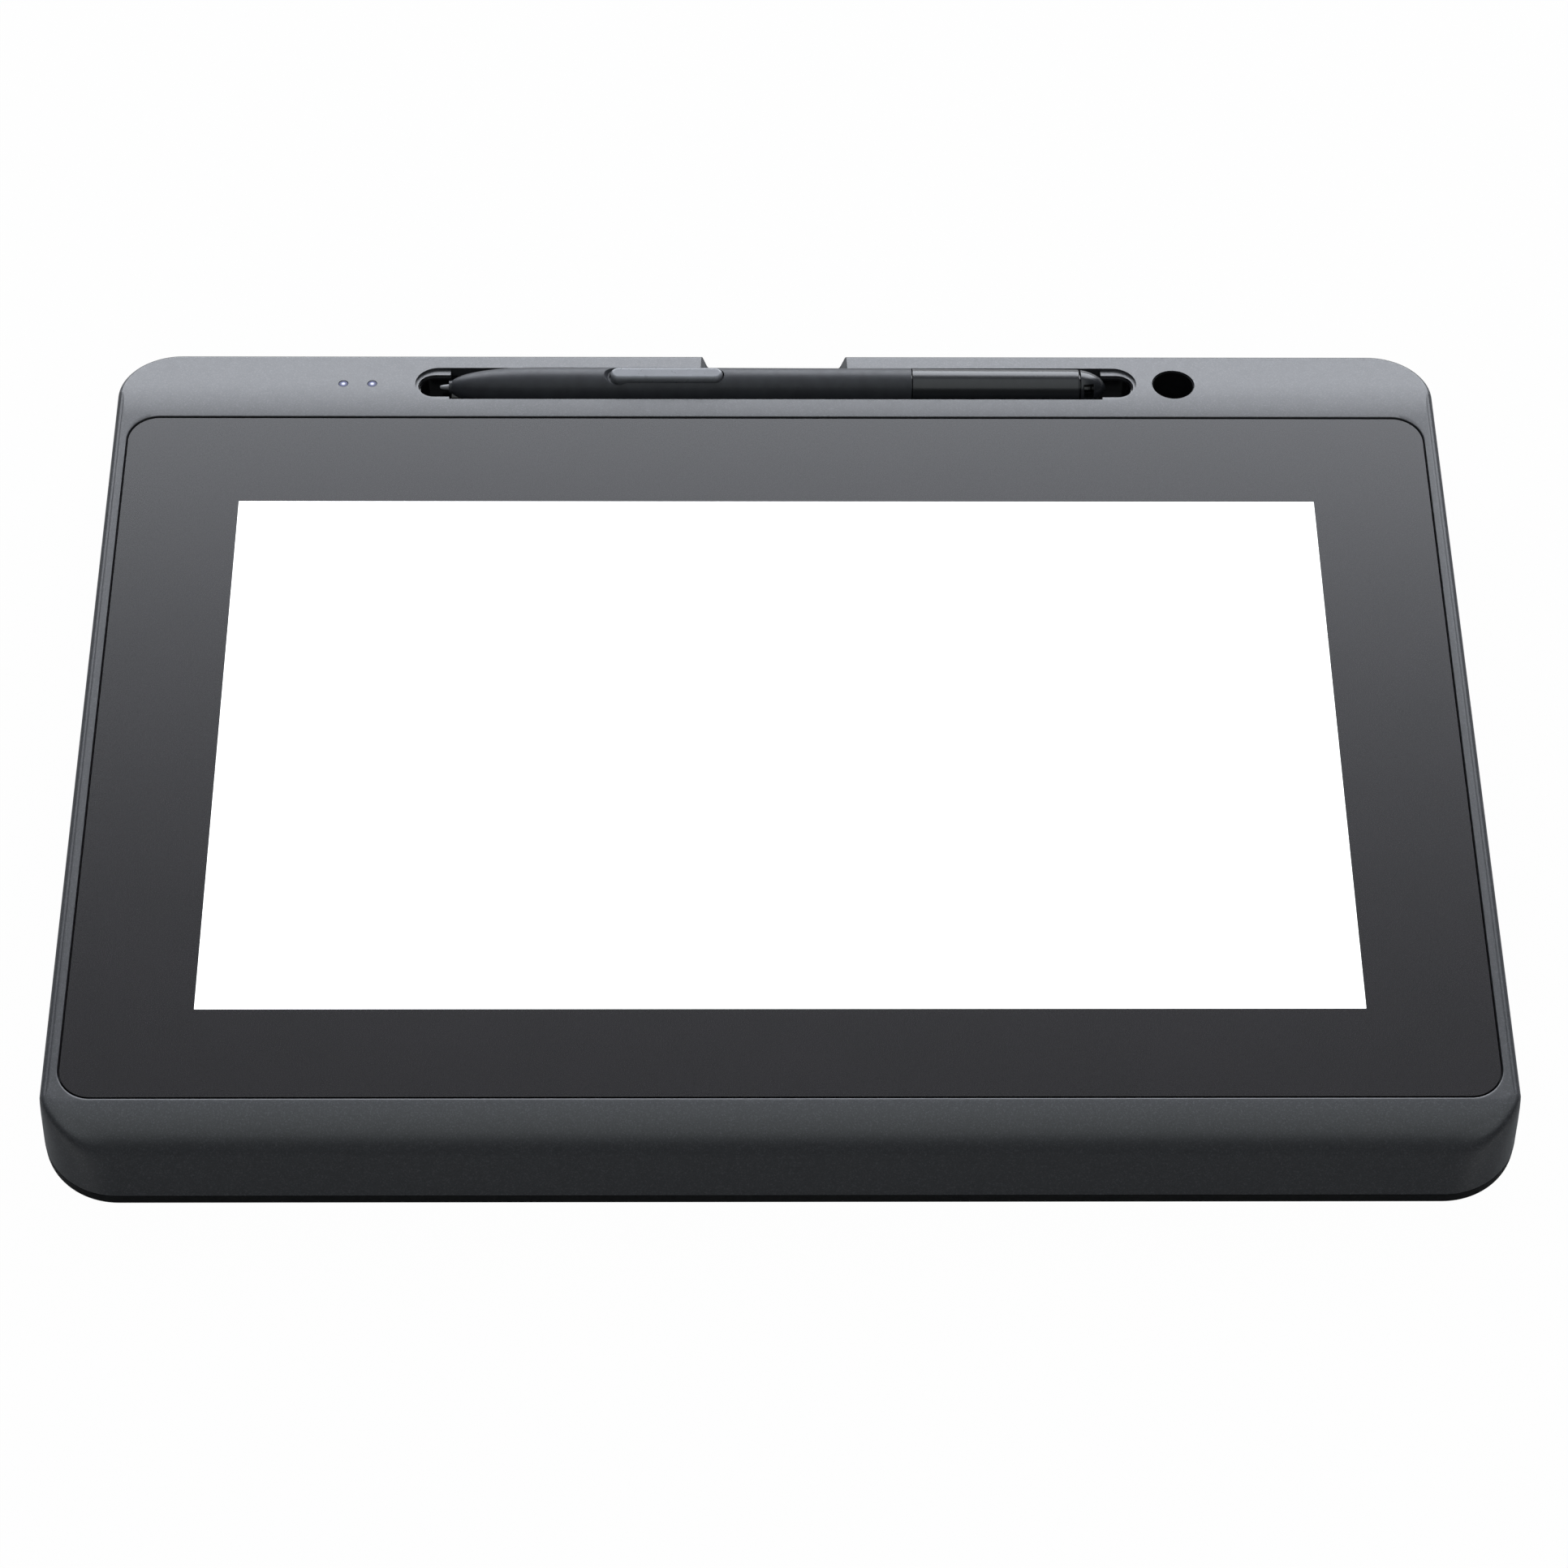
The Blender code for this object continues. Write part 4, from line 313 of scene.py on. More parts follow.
# %% [markdown]
# ## Glass face
# The glass is printed dark on its back round the window, and its front is etched so finely that it
# spreads reflections. The etching is made as a grain in the normal with a raised roughness, because a
# clear coat would mirror the lamp as a hard edge. The window is lit from behind through the same etching.

# %% Glass and lit window
ETCHED_GLOSS, ETCHING = (0.262, 0.278), 6000.0
glass_face = two_tone(
    "etched_glass_face", (0.006, 0.005, 0.006), (0.008, 0.0065, 0.008), ETCHED_GLOSS,
    (60.0,), (ETCHING,), (7000.0, 1.0), 0.000004, 0.08, Metallic=0.0, IOR=1.5)
lit_panel, tree, shader = new_finish("lit_window")
cell_tones = spread(tree, grain(tree, 3500.0, 1.0), 0.97, 1.0)
drive(
    tree, shader, Base_Color=(0.80, 0.80, 0.80, 1.0), IOR=1.5, Emission_Strength=1.0,
    Roughness=spread(tree, grain(tree, ETCHING), *ETCHED_GLOSS),
    Emission_Color=tones(tree, cell_tones, (0.9, (0.90, 0.90, 0.90)), (1.0, (1.0, 1.0, 1.0))),
)

# %% [markdown]
# ## Black plastics
# The lower half is moulded with a fine spark texture, the tray is polished, and the pen has four
# plastics: a soft grip, a satin barrel and cap, a lighter switch and a hard nib. They differ in how rough
# they are far more than in colour, so one helper makes them all, and the rubber feet and foam tape too,
# from two tones, a range of roughness and a bump.

# %% Plastics


def plastic(name, dark, light, rough, bump, tone_scale=400.0, **settings):
    """A moulded plastic with two close tones, an uneven gloss and a bump of (scale, height, strength)."""
    scale, height, strength = bump
    grains = (tone_scale,), (2.3 * tone_scale,), (scale, 3.0)
    return two_tone(name, dark, light, rough, *grains, height, strength, IOR=1.5, **settings)


black_moulding = plastic(
    "black_sparked_moulding", (0.009, 0.009, 0.010), (0.013, 0.013, 0.014), (0.44, 0.58),
    (3200.0, 0.00003, 0.5), Specular_IOR_Level=0.10)
gloss_black = plastic(
    "gloss_black_tray", (0.004, 0.004, 0.005), (0.007, 0.007, 0.008), (0.07, 0.13),
    (90.0, 0.00004, 0.08), 150.0)
grip_rubber = plastic(
    "soft_grip", (0.030, 0.031, 0.036), (0.038, 0.040, 0.046), (0.40, 0.48),
    (4200.0, 0.00001, 0.3), Specular_IOR_Level=0.26)
barrel_plastic = plastic(
    "satin_barrel", (0.014, 0.015, 0.017), (0.018, 0.019, 0.022), (0.25, 0.27), (1400.0, 0.000004, 0.10))
switch_plastic = plastic(
    "switch_grey", (0.15, 0.156, 0.170), (0.17, 0.177, 0.193), (0.26, 0.34), (3000.0, 0.00001, 0.2))
nib_plastic = plastic(
    "nib_grey", (0.20, 0.20, 0.21), (0.26, 0.26, 0.27), (0.35, 0.45), (5000.0, 0.00001, 0.3), 900.0)
foot_rubber = plastic(
    "foot_rubber", (0.016, 0.016, 0.016), (0.026, 0.026, 0.026), (0.70, 0.86),
    (2600.0, 0.00004, 0.6), 700.0)
foam_tape = plastic(
    "foam_tape", (0.010, 0.010, 0.010), (0.020, 0.020, 0.020), (0.80, 0.90),
    (5200.0, 0.00005, 0.8), 1500.0)

# %% [markdown]
# ## Metals
# The display's shield and back are rolled sheet, so their grain runs one way: the noise is stretched
# along the sheet. Screws are zinc plated and slightly mottled. The inserts are turned brass, whose
# tool marks are rings, so the noise that drives the bump is squeezed along each insert's axis.

# %% Sheet, screws and brass
ROLLED = (260.0, 4.0, (0.06, 4.0, 4.0))
sheet_steel = two_tone(
    "rolled_sheet_steel", (0.50, 0.51, 0.52), (0.60, 0.61, 0.62), (0.28, 0.42),
    ROLLED, ROLLED, ROLLED, 0.00001, 0.3, Metallic=1.0)
screw_zinc = two_tone(
    "zinc_screws", (0.34, 0.345, 0.35), (0.48, 0.485, 0.49), (0.26, 0.44),
    (900.0, 3.0), (1600.0,), (2600.0,), 0.00001, 0.3, Metallic=1.0)
brass = two_tone(
    "turned_brass", (0.60, 0.42, 0.17), (0.72, 0.53, 0.24), (0.20, 0.36),
    (700.0,), (1800.0, 2.0, (1.0, 1.0, 9.0)), (900.0, 1.0, (1.0, 1.0, 14.0)), 0.00001, 0.4, Metallic=1.0)

# %% [markdown]
# ## Boards and ribbons
# A circuit board is green lacquer over copper, and the copper shows through as slightly lighter lines
# and patches. Bricks with thin gaps give a believable net of tracks. The chips stand on the main board
# in the same mesh, so the height above the board decides where their black resin starts. The
# ribbons carry bare conductors under amber film: a wave across the ribbon makes the stripes.

# %% Board and ribbon


def board(name, chips_from=None):
    """Lacquered board with tracks, and black resin above the given height."""
    made, tree, shader = new_finish(name)
    tracks = put(tree, "ShaderNodeTexBrick", {
        "Vector": coordinates(tree), "Scale": 220.0, "Mortar Size": 0.03, "Brick Width": 0.9,
        "Row Height": 0.22, "Color1": (0.010, 0.075, 0.034, 1.0), "Color2": (0.014, 0.095, 0.044, 1.0),
        "Mortar": (0.004, 0.045, 0.020, 1.0),
    })
    colour = tracks.outputs["Color"]
    if chips_from:
        chips = calculate(tree, "GREATER_THAN", sides(tree, coordinates(tree))["Z"], chips_from)
        resin = {0: chips, 6: colour, 7: (0.012, 0.012, 0.013, 1.0)}
        colour = put(tree, "ShaderNodeMix", resin, data_type="RGBA").outputs[2]
    drive(tree, shader, Base_Color=colour, Roughness=spread(tree, grain(tree, 900.0), 0.30, 0.46))
    relief(tree, shader, (tracks.outputs["Fac"], 0.00002, 0.3))
    return made


board_lacquer = board("board_lacquer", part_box("button_board")[1][2] + 0.0001)
bare_board = board("bare_board")
ribbon_amber, tree, shader = new_finish("ribbon_film")
wave = {"Vector": coordinates(tree), "Scale": 320.0}
stripes = put(tree, "ShaderNodeTexWave", wave, wave_type="BANDS", bands_direction="X").outputs["Fac"]
drive(
    tree, shader,
    Base_Color=tones(tree, stripes, (0.35, (0.36, 0.17, 0.035)), (0.65, (0.50, 0.27, 0.08))),
    Roughness=spread(tree, grain(tree, 700.0), 0.30, 0.42),
)
relief(tree, shader, (stripes, 0.00002, 0.4))

# %% [markdown]
# ## Light guides
# Each status light is a clear rod that ends just under the paint. Its middle is lit almost white, and a
# dark ring stands round that, where the rod shows the wall of its hole. Both rods share one finish: the
# distance from the nearer of the two axes is worked out from the piece's coordinates and drives a ramp.

# %% Light guide
MM = 0.001
LIGHT_MIDDLE, LIGHT_REACH, LIGHT_Y, GUIDE_RADIUS = -88.65, 3.05, 91.295, 0.95

light_guide, tree, shader = new_finish("lit_light_guide")
place = sides(tree, coordinates(tree, shift=(-LIGHT_MIDDLE * MM, -LIGHT_Y * MM, 0.0)))
beside = calculate(tree, "SUBTRACT", calculate(tree, "ABSOLUTE", place["X"]), LIGHT_REACH * MM)
squares = [calculate(tree, "POWER", calculate(tree, "ABSOLUTE", side), 2.0) for side in (beside, place["Y"])]
away = calculate(tree, "SQRT", calculate(tree, "ADD", *squares))
glow_tones = tones(
    tree, calculate(tree, "DIVIDE", away, GUIDE_RADIUS * MM),
    (0.0, (0.95, 0.96, 1.0)), (0.30, (0.72, 0.76, 1.0)), (0.52, (0.10, 0.11, 0.22)),
    (0.85, (0.045, 0.05, 0.11)), (1.0, (0.07, 0.08, 0.13)),
)
drive(
    tree, shader, IOR=1.49, Specular_IOR_Level=0.12, Emission_Strength=1.0, Emission_Color=glow_tones,
    Base_Color=tones(tree, grain(tree, 900.0), (0.3, (0.020, 0.022, 0.040)), (0.7, (0.030, 0.033, 0.055))),
    Roughness=spread(tree, grain(tree, 1300.0), 0.24, 0.32),
)

# %% [markdown]
# ## Shape helpers
# Outlines are lists of points in millimetres and become metres when a mesh is made, so the numbers here
# read like a drawing. A loft joins rings of equal count, a prism pushes an outline along an axis, and a
# turned shape is a loft of circles. Each makes one closed body.

# %% Outlines
QUARTER = math.pi / 2


def arc(centre, reach_u, reach_v, start, end, steps):
    turns = [start + (end - start) * step / steps for step in range(steps + 1)]
    return [(centre[0] + reach_u * math.cos(turn), centre[1] + reach_v * math.sin(turn)) for turn in turns]


def circle(centre, radius, steps=32):
    return arc(centre, radius, radius, 0, 4 * QUARTER, steps)[:-1]


def capsule(centre, length, width, steps=16):
    radius, reach = width / 2, (length - width) / 2
    outline = arc((centre[0] + reach, centre[1]), radius, radius, -QUARTER, QUARTER, steps)
    return outline + arc((centre[0] - reach, centre[1]), radius, radius, QUARTER, 3 * QUARTER, steps)


def box(low, high):
    return [(low[0], low[1]), (high[0], low[1]), (high[0], high[1]), (low[0], high[1])]


def band(half, low, high):
    return box((-half, low), (half, high))


def blend(start, end, share):
    return start + (end - start) * share


def held(value):
    return max(0.0, min(1.0, value))


def point(axis, u, v, w):
    return {"X": (w, u, v), "Y": (u, w, v), "Z": (u, v, w)}[axis]


def level(outline, z):
    return [(x, y, z) for x, y in outline]


def draped(outline, height_at, sink=0.0):
    """A ring that follows a slope, or lies a little under it."""
    return [(x, y, height_at(y) - sink) for x, y in outline]


def quarter_round(radius, steps):
    """Pairs of (inset, drop) from the foot of a round edge up to its flat face."""
    turns = [QUARTER * step / steps for step in range(steps + 1)]
    return [(radius * (1 - math.cos(turn)), radius * (1 - math.sin(turn))) for turn in turns]


# %% Bodies


def loft(name, loops, finish=None, closed=False):
    """Rings of equal count joined into one closed body that ends in two faces, or in its first ring."""
    bm = bmesh.new()
    rows = [[bm.verts.new([MM * value for value in place]) for place in loop] for loop in loops]
    if closed:
        rows.append(rows[0])
    else:
        bm.faces.new(rows[0])
        bm.faces.new(rows[-1])
    for lower, upper in zip(rows, rows[1:]):
        for here in range(len(lower)):
            ahead = (here + 1) % len(lower)
            bm.faces.new((lower[here], lower[ahead], upper[ahead], upper[here]))
    bmesh.ops.recalc_face_normals(bm, faces=bm.faces)
    mesh = bpy.data.meshes.new(name)
    bm.to_mesh(mesh)
    bm.free()
    if finish:
        mesh.materials.append(finish)
    return added(name, mesh)


def prism(name, outline, axis, low, high, finish=None):
    return loft(name, [[point(axis, u, v, end) for u, v in outline] for end in (low, high)], finish)


def lathe(name, profile, axis, centre, finish=None, hollow=False, steps=64):
    """A profile of (place along the axis, radius) turned about the axis through the centre."""
    rings = ((along, circle(centre, radius, steps)) for along, radius in profile)
    loops = [[point(axis, u, v, along) for u, v in ring] for along, ring in rings]
    return loft(name, loops, finish, closed=hollow)


# %% [markdown]
# ## Finishing helpers
# Cuts come first and rounding last, because the cuts make the edges. A bevel that is limited by angle
# rounds every edge a moulding tool or a grinder would. Smooth shading alone would smear those roundings
# over the large flat faces, so a weighted normal gives each flat face its own true direction.

# %% Cuts, soft edges and riding
WELD, SLIVER = 0.000004, 0.000002


def plain(made):
    """Turns an object and its modifiers into a plain mesh."""
    evaluated = made.evaluated_get(bpy.context.evaluated_depsgraph_get())
    mesh = bpy.data.meshes.new_from_object(evaluated)
    made.modifiers.clear()
    made.data = mesh
    mesh.name = made.name
    return made


def carve(made, cutters, operation="DIFFERENCE"):
    """Cuts or joins helpers, which are used up."""
    for cutter in cutters:
        modifier = made.modifiers.new(cutter.name, "BOOLEAN")
        modifier.operation, modifier.solver, modifier.object = operation, "EXACT", cutter
    plain(made)
    for cutter in cutters:
        bpy.data.objects.remove(cutter)


def shade(made, angle):
    """Smooth shading that stays true on flat faces and breaks at edges over the angle."""
    made.data.shade_smooth()
    made.data.set_sharp_from_angle(angle=math.radians(angle))
    modifier = made.modifiers.new("true_flats", "WEIGHTED_NORMAL")
    modifier.mode, modifier.weight, modifier.keep_sharp = "FACE_AREA", 60, True
    return plain(made)


def soften(made, width, segments=2, angle=32):
    """Rounds the edges that are sharper than the angle."""
    bm = bmesh.new()
    bm.from_mesh(made.data)
    bmesh.ops.remove_doubles(bm, verts=bm.verts, dist=WELD)
    bmesh.ops.dissolve_degenerate(bm, edges=bm.edges, dist=SLIVER)
    bm.to_mesh(made.data)
    bm.free()
    bevel = made.modifiers.new("soft_edges", "BEVEL")
    bevel.width, bevel.segments = MM * width, segments
    bevel.limit_method, bevel.angle_limit = "ANGLE", math.radians(angle)
    bevel.miter_outer = "MITER_ARC"
    plain(made)
    shade(made, angle + 8)


def settle(made, body, slot, *nodes):
    """Says what a finished piece moves with and which nodes it stands for. The slot is not used."""
    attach(made, body)
    if nodes:
        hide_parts(*nodes)
    print(f"{made.name}: {len(made.data.polygons)} faces, rides on {body}")


def numbered(name, count):
    return [f"{name}_{number}" for number in range(1, count + 1)]


def dress(finish, *names):
    """Gives nodes whose shape is already right their finish."""
    for name in names:
        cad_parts[name].data.materials[0] = finish
    print("dressed with", finish.name + ":", ", ".join(names))


# %% [markdown]
# ## Sizes read from the frame
# The frame's nodes give the outer sizes, so the finer meshes land exactly on them. Only the sizes of
# small features are written here, as a maker would read them off the drawing.

# %% Sizes


def node_box(name):
    return [[value / MM for value in corner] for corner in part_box(name)]


glass_low, glass_high = node_box("cover_glass")
cover_low, cover_high = node_box("top_cover")
HALF_WIDTH, HALF_DEPTH, TOP, LIP_Z = cover_high[0], -cover_low[1], cover_high[2], cover_low[2]
GLASS_GAP = 0.4
OPEN_X = glass_high[0] + GLASS_GAP
OPEN_FRONT, OPEN_REAR = glass_low[1] - GLASS_GAP, glass_high[1] + GLASS_GAP
UNDERSIDE = node_box("bottom_cover")[0][2]
PEN_Y, PEN_Z = 91.895, 13.9
BAY_HALF, BAY_TOP, TONGUE_TOP = 43.3, 7.875, 6.2
print("opening:", round(OPEN_X, 2), round(OPEN_FRONT, 2), round(OPEN_REAR, 2), "top", round(TOP, 2))

# %% [markdown]
# ## The housing's skin
# The upper half is one moulding whose face is level round the glass, rolls down in front over a quarter
# round that ends in a straight run to the lip, and eases down to nine degrees behind the glass. It is
# lofted from rings that start at the glass opening and walk outwards. Each ring is a plan with
# elliptical corners, and its height comes from the face's profile. A loft was chosen over a subdivided
# box because the roll, the edge and the corners follow one rule and stay exact.

# %% The face from front to rear
CORNER_STEPS, FLAT_RINGS, EDGE_RINGS, WALL_RINGS = 24, 16, 9, 9
EDGE_RADIUS, DRAFT, WALL = 1.2, 0.4, 2.0
RIM_RINGS, REAR_RIM, FRONT_RIM = 4, 0.18, 0.40
FRONT_BAND = OPEN_FRONT + HALF_DEPTH
ROLL_RADIUS, REAR_CURVE, REAR_SLOPE = 12.0, 10.0, math.radians(9)
CEILING, LEDGE_TOP, LEDGE_WIDTH, LEDGE_CORNER = 12.4, 14.4, 4.0, 3.0
FRONT_CORNER, REAR_CORNER, OPEN_CORNER = 15.0, 13.0, 6.6
outer_middles = (
    (HALF_WIDTH - FRONT_CORNER, FRONT_CORNER - HALF_DEPTH),
    (HALF_WIDTH - REAR_CORNER, HALF_DEPTH - REAR_CORNER),
)
open_middles = [(OPEN_X - OPEN_CORNER, y) for y in (OPEN_FRONT + OPEN_CORNER, OPEN_REAR - OPEN_CORNER)]
roll_rise = TOP - LIP_Z - ROLL_RADIUS
roll_run = math.sqrt(FRONT_BAND**2 + roll_rise**2 - ROLL_RADIUS**2)
ROLL_ANGLE = math.atan2(roll_rise, FRONT_BAND) + math.atan2(ROLL_RADIUS, roll_run)


def top_at(y):
    """Height of the face above a place from front to rear."""
    if y < OPEN_FRONT:
        run, bend = OPEN_FRONT - y, ROLL_RADIUS * math.sin(ROLL_ANGLE)
        if run < bend:
            return TOP - ROLL_RADIUS + math.sqrt(ROLL_RADIUS**2 - run**2)
        return TOP - ROLL_RADIUS * (1 - math.cos(ROLL_ANGLE)) - (run - bend) * math.tan(ROLL_ANGLE)
    if y > OPEN_REAR:
        run = y - OPEN_REAR
        curved = min(run, REAR_CURVE)
        return TOP - (curved**2 / (2 * REAR_CURVE) + run - curved) * math.tan(REAR_SLOPE)
    return TOP


print("roll ends at", round(math.degrees(ROLL_ANGLE), 1), "degrees")

# %% Rings of the skin


def plan(side, front, rear, front_middle, rear_middle):
    """A ring seen from above, from the right side round by the rear."""
    (front_x, front_y), (rear_x, rear_y) = front_middle, rear_middle
    corners = (rear_x, rear_y), (-rear_x, rear_y), (-front_x, front_y), (front_x, front_y)
    outline = []
    for number, (x, y) in enumerate(corners):
        reach = rear - y if number < 2 else y - front
        outline += arc((x, y), side - abs(x), reach, number * QUARTER, (number + 1) * QUARTER, CORNER_STEPS)
    return outline


def framed(side, front, rear, radius):
    return plan(side, front, rear, (side - radius, front + radius), (side - radius, rear - radius))


def travel(number):
    """How far a ring has gone over the flat, round the edge and down the wall."""
    flat, edge = number / FLAT_RINGS, (number - FLAT_RINGS) / EDGE_RINGS
    return held(flat), QUARTER * held(edge), held((number - FLAT_RINGS - EDGE_RINGS) / WALL_RINGS)


def skin_plan(number):
    flat, turn, fall = travel(number)
    rolled = held(number / (FLAT_RINGS + EDGE_RINGS))
    outwards = EDGE_RADIUS * math.sin(turn) + DRAFT * fall
    side = blend(OPEN_X + REAR_RIM, HALF_WIDTH - DRAFT - EDGE_RADIUS, flat) + outwards
    rear = blend(OPEN_REAR + REAR_RIM, HALF_DEPTH - DRAFT - EDGE_RADIUS, flat) + outwards
    roll_turn = blend(math.asin(FRONT_RIM / ROLL_RADIUS), ROLL_ANGLE, rolled)
    front = blend(OPEN_FRONT - ROLL_RADIUS * math.sin(roll_turn), -HALF_DEPTH, fall)
    middles = []
    for start, end in zip(open_middles, outer_middles):
        middles.append([blend(a, b, flat) for a, b in zip(start, end)])
    return plan(side, front, rear, *middles)


def front_shares():
    """How far each point of a ring belongs to the front edge."""
    turned_shares = [math.sin(QUARTER * step / CORNER_STEPS) ** 2 for step in range(CORNER_STEPS + 1)]
    return [0.0] * (2 * len(turned_shares)) + turned_shares + turned_shares[::-1]


def skin_rings():
    rings = []
    for number in range(FLAT_RINGS + EDGE_RINGS + WALL_RINGS + 1):
        flat, turn, fall = travel(number)
        crest, edge = skin_plan(min(number, FLAT_RINGS)), skin_plan(min(number, FLAT_RINGS + EDGE_RINGS))
        ring = []
        for (x, y), high, low, share in zip(skin_plan(number), crest, edge, front_shares()):
            rounded = top_at(high[1]) - EDGE_RADIUS * (1 - math.cos(turn))
            ring.append((x, y, blend(blend(rounded, top_at(low[1]), share), LIP_Z, fall)))
        rings.append(ring)
    return rings


def relaxed(rings, rounds=40):
    """Eases the crease under the front corners, where the side's edge turns into the roll."""
    weights = [math.sin(math.pi * math.sqrt(share)) if 0 < share < 1 else 0.0 for share in front_shares()]
    for _ in range(rounds):
        eased = [list(ring) for ring in rings]
        for number in range(FLAT_RINGS - 4, len(rings) - 1):
            for column, weight in enumerate(weights):
                if weight:
                    low, here, high = (Vector(rings[number + step][column]) for step in (-1, 0, 1))
                    eased[number][column] = tuple(here.lerp((low + high) / 2, 0.5 * weight))
        rings = eased
    return rings


def lining_rings():
    """The inside of the moulding, from the lip up to the rim of the glass opening."""
    lip_front = WALL / math.sin(ROLL_ANGLE) - HALF_DEPTH
    ceiling_front = lip_front + (CEILING - LIP_Z) / math.tan(ROLL_ANGLE)
    inset = WALL + DRAFT
    lip = plan(HALF_WIDTH - WALL, lip_front, HALF_DEPTH - WALL, *outer_middles)
    upper = plan(HALF_WIDTH - inset, ceiling_front, HALF_DEPTH - inset, *outer_middles)
    ledge = framed(OPEN_X - LEDGE_WIDTH, OPEN_FRONT + LEDGE_WIDTH, OPEN_REAR - LEDGE_WIDTH, LEDGE_CORNER)
    rings = [level(lip, LIP_Z), level(upper, CEILING), level(ledge, CEILING), level(ledge, LEDGE_TOP)]
    rings.append(level(framed(OPEN_X, OPEN_FRONT, OPEN_REAR, OPEN_CORNER), LEDGE_TOP))
    radii = [blend(REAR_RIM, FRONT_RIM, share) for share in front_shares()]
    for out, drop in quarter_round(1.0, RIM_RINGS)[:-1]:
        front, wider = OPEN_FRONT - FRONT_RIM * out, REAR_RIM * out
        rim = plan(OPEN_X + wider, front, OPEN_REAR + wider, *open_middles)
        rings.append([(x, y, TOP - radius * drop) for (x, y), radius in zip(rim, radii)])
    return rings


housing = loft("housing_top", relaxed(skin_rings()) + lining_rings(), grey_paint, closed=True)
print("skin:", len(housing.data.polygons), "faces")

# %% [markdown]
# ## Slot, notch and holes
# The pen lies in a slot with round ends. At each end a shelf lies just under the face, parallel to it,
# and a narrower pit goes down through the shelf. A notch through the rear edge lets a finger reach the
# pen, and a round hole takes the pen upright. All of these are Boolean cuts, made first and rounded
# afterwards, so that every rim gets the small radius of a moulded and sprayed edge.

# %% Cuts in the top cover
TROUGH = 4.575
SLOT_LENGTH, WELL_LENGTH, SHELF_DEPTH = 153.0, 138.34, 0.6
SLOT_FRONT, SLOT_REAR = PEN_Y - TROUGH - 0.8, PEN_Y + TROUGH
PIT_FRONT, PIT_REAR = PEN_Y - 4.25, PEN_Y + 2.795
ABOVE, TROUGH_FLOOR = TOP + 1.0, PEN_Z - TROUGH
STAND, STAND_RADIUS = (84.35, LIGHT_Y), 4.5
LIGHTS = [(LIGHT_MIDDLE + side * LIGHT_REACH, LIGHT_Y) for side in (-1, 1)]
WALL_SLOT_Z = (TONGUE_TOP + CEILING) / 2
INSIDE_REAR = HALF_DEPTH - WALL - DRAFT - 1.0


def shelf_at(y):
    return top_at(PEN_Y) - SHELF_DEPTH - (y - PEN_Y) * math.tan(REAR_SLOPE)


def pit_outline(inset=0.0):
    centre, width = (PIT_FRONT + PIT_REAR) / 2, PIT_REAR - PIT_FRONT
    return capsule((0, centre), SLOT_LENGTH - 1.2 - 2 * inset, width - 2 * inset)


def notch_outline():
    """The notch from behind: a level floor, a small round and straight leaning sides."""
    floor_half, top_half, radius, shift = 13.9, 16.45, 2.0, -0.4
    lean = math.atan2(top_half - floor_half, ABOVE - TROUGH_FLOOR)
    reach = radius * math.tan((QUARTER - lean) / 2)
    right = arc((floor_half - reach, TROUGH_FLOOR + radius), radius, radius, -QUARTER, -lean, 10)
    outline = right + [(top_half, ABOVE), (-top_half, ABOVE)] + [(-u, v) for u, v in reversed(right)]
    return [(u + shift, v) for u, v in outline]


def drilled(name, outline):
    """A cutter that goes up through the face."""
    return prism(name, outline, "Z", CEILING - 1, ABOVE)


def through_rear(name, outline):
    return prism(name, outline, "Y", INSIDE_REAR, HALF_DEPTH + 1.0)


saddle = band(20.5, SLOT_REAR + 1.3, HALF_DEPTH - DRAFT - 0.5)
carve(housing, [prism("saddle", saddle, "Z", BAY_TOP, CEILING + 0.5)], "UNION")
slot_plan = capsule((0, (SLOT_FRONT + SLOT_REAR) / 2), SLOT_LENGTH, SLOT_REAR - SLOT_FRONT, 32)
cutters = [
    loft("recess", [draped(slot_plan, shelf_at), level(slot_plan, ABOVE)]),
    drilled("well", band(WELL_LENGTH / 2, SLOT_FRONT, SLOT_REAR)),
    drilled("pit", pit_outline()),
    prism("notch", notch_outline(), "Y", PEN_Y, HALF_DEPTH + 1),
    drilled("stand_hole", circle(STAND, STAND_RADIUS, 64)),
    through_rear("bay_window", band(BAY_HALF, LIP_Z - 1.0, BAY_TOP)),
    through_rear("button_hole", capsule((LIGHT_MIDDLE, WALL_SLOT_Z), 11.6, 4.2)),
    through_rear("lock_slot", capsule((108.0, WALL_SLOT_Z), 7.0, 3.0)),
]
cutters += [drilled("light_hole", circle(place, GUIDE_RADIUS + 0.1, 40)) for place in LIGHTS]
carve(housing, cutters)
soften(housing, 0.18, 2)
settle(housing, "root", "grey_paint", "top_cover", "rear_band_left", "rear_band_right")

# %% [markdown]
# ## Glass and lit window
# The glass is a ring of dark glass with its upper edge ground off in a small round, and the window is
# the clear part of the same sheet, lit from behind. Two pieces that meet flush show a crisp edge without
# any seam, and each takes its own finish. The display under it keeps its own mesh and gets a finish. The
# gap round the glass is narrower in front and wider behind, as on the real pad.

# %% Glass and window
WINDOW_X, WINDOW_FRONT, WINDOW_REAR, WINDOW_CORNER = 111.5, OPEN_FRONT + 19.75, OPEN_REAR - 23.2, 0.05
GLASS_BOTTOM, GLASS_CORNER, GROUND_EDGE = glass_low[2], 6.2, 0.06
LESS_IN_FRONT, MORE_BEHIND = 0.24, 0.14


def glass_ring(inset, z):
    gap = GLASS_GAP + inset
    front, rear = OPEN_FRONT + gap - LESS_IN_FRONT, OPEN_REAR - gap - MORE_BEHIND
    return level(framed(OPEN_X - gap, front, rear, GLASS_CORNER - inset), z)


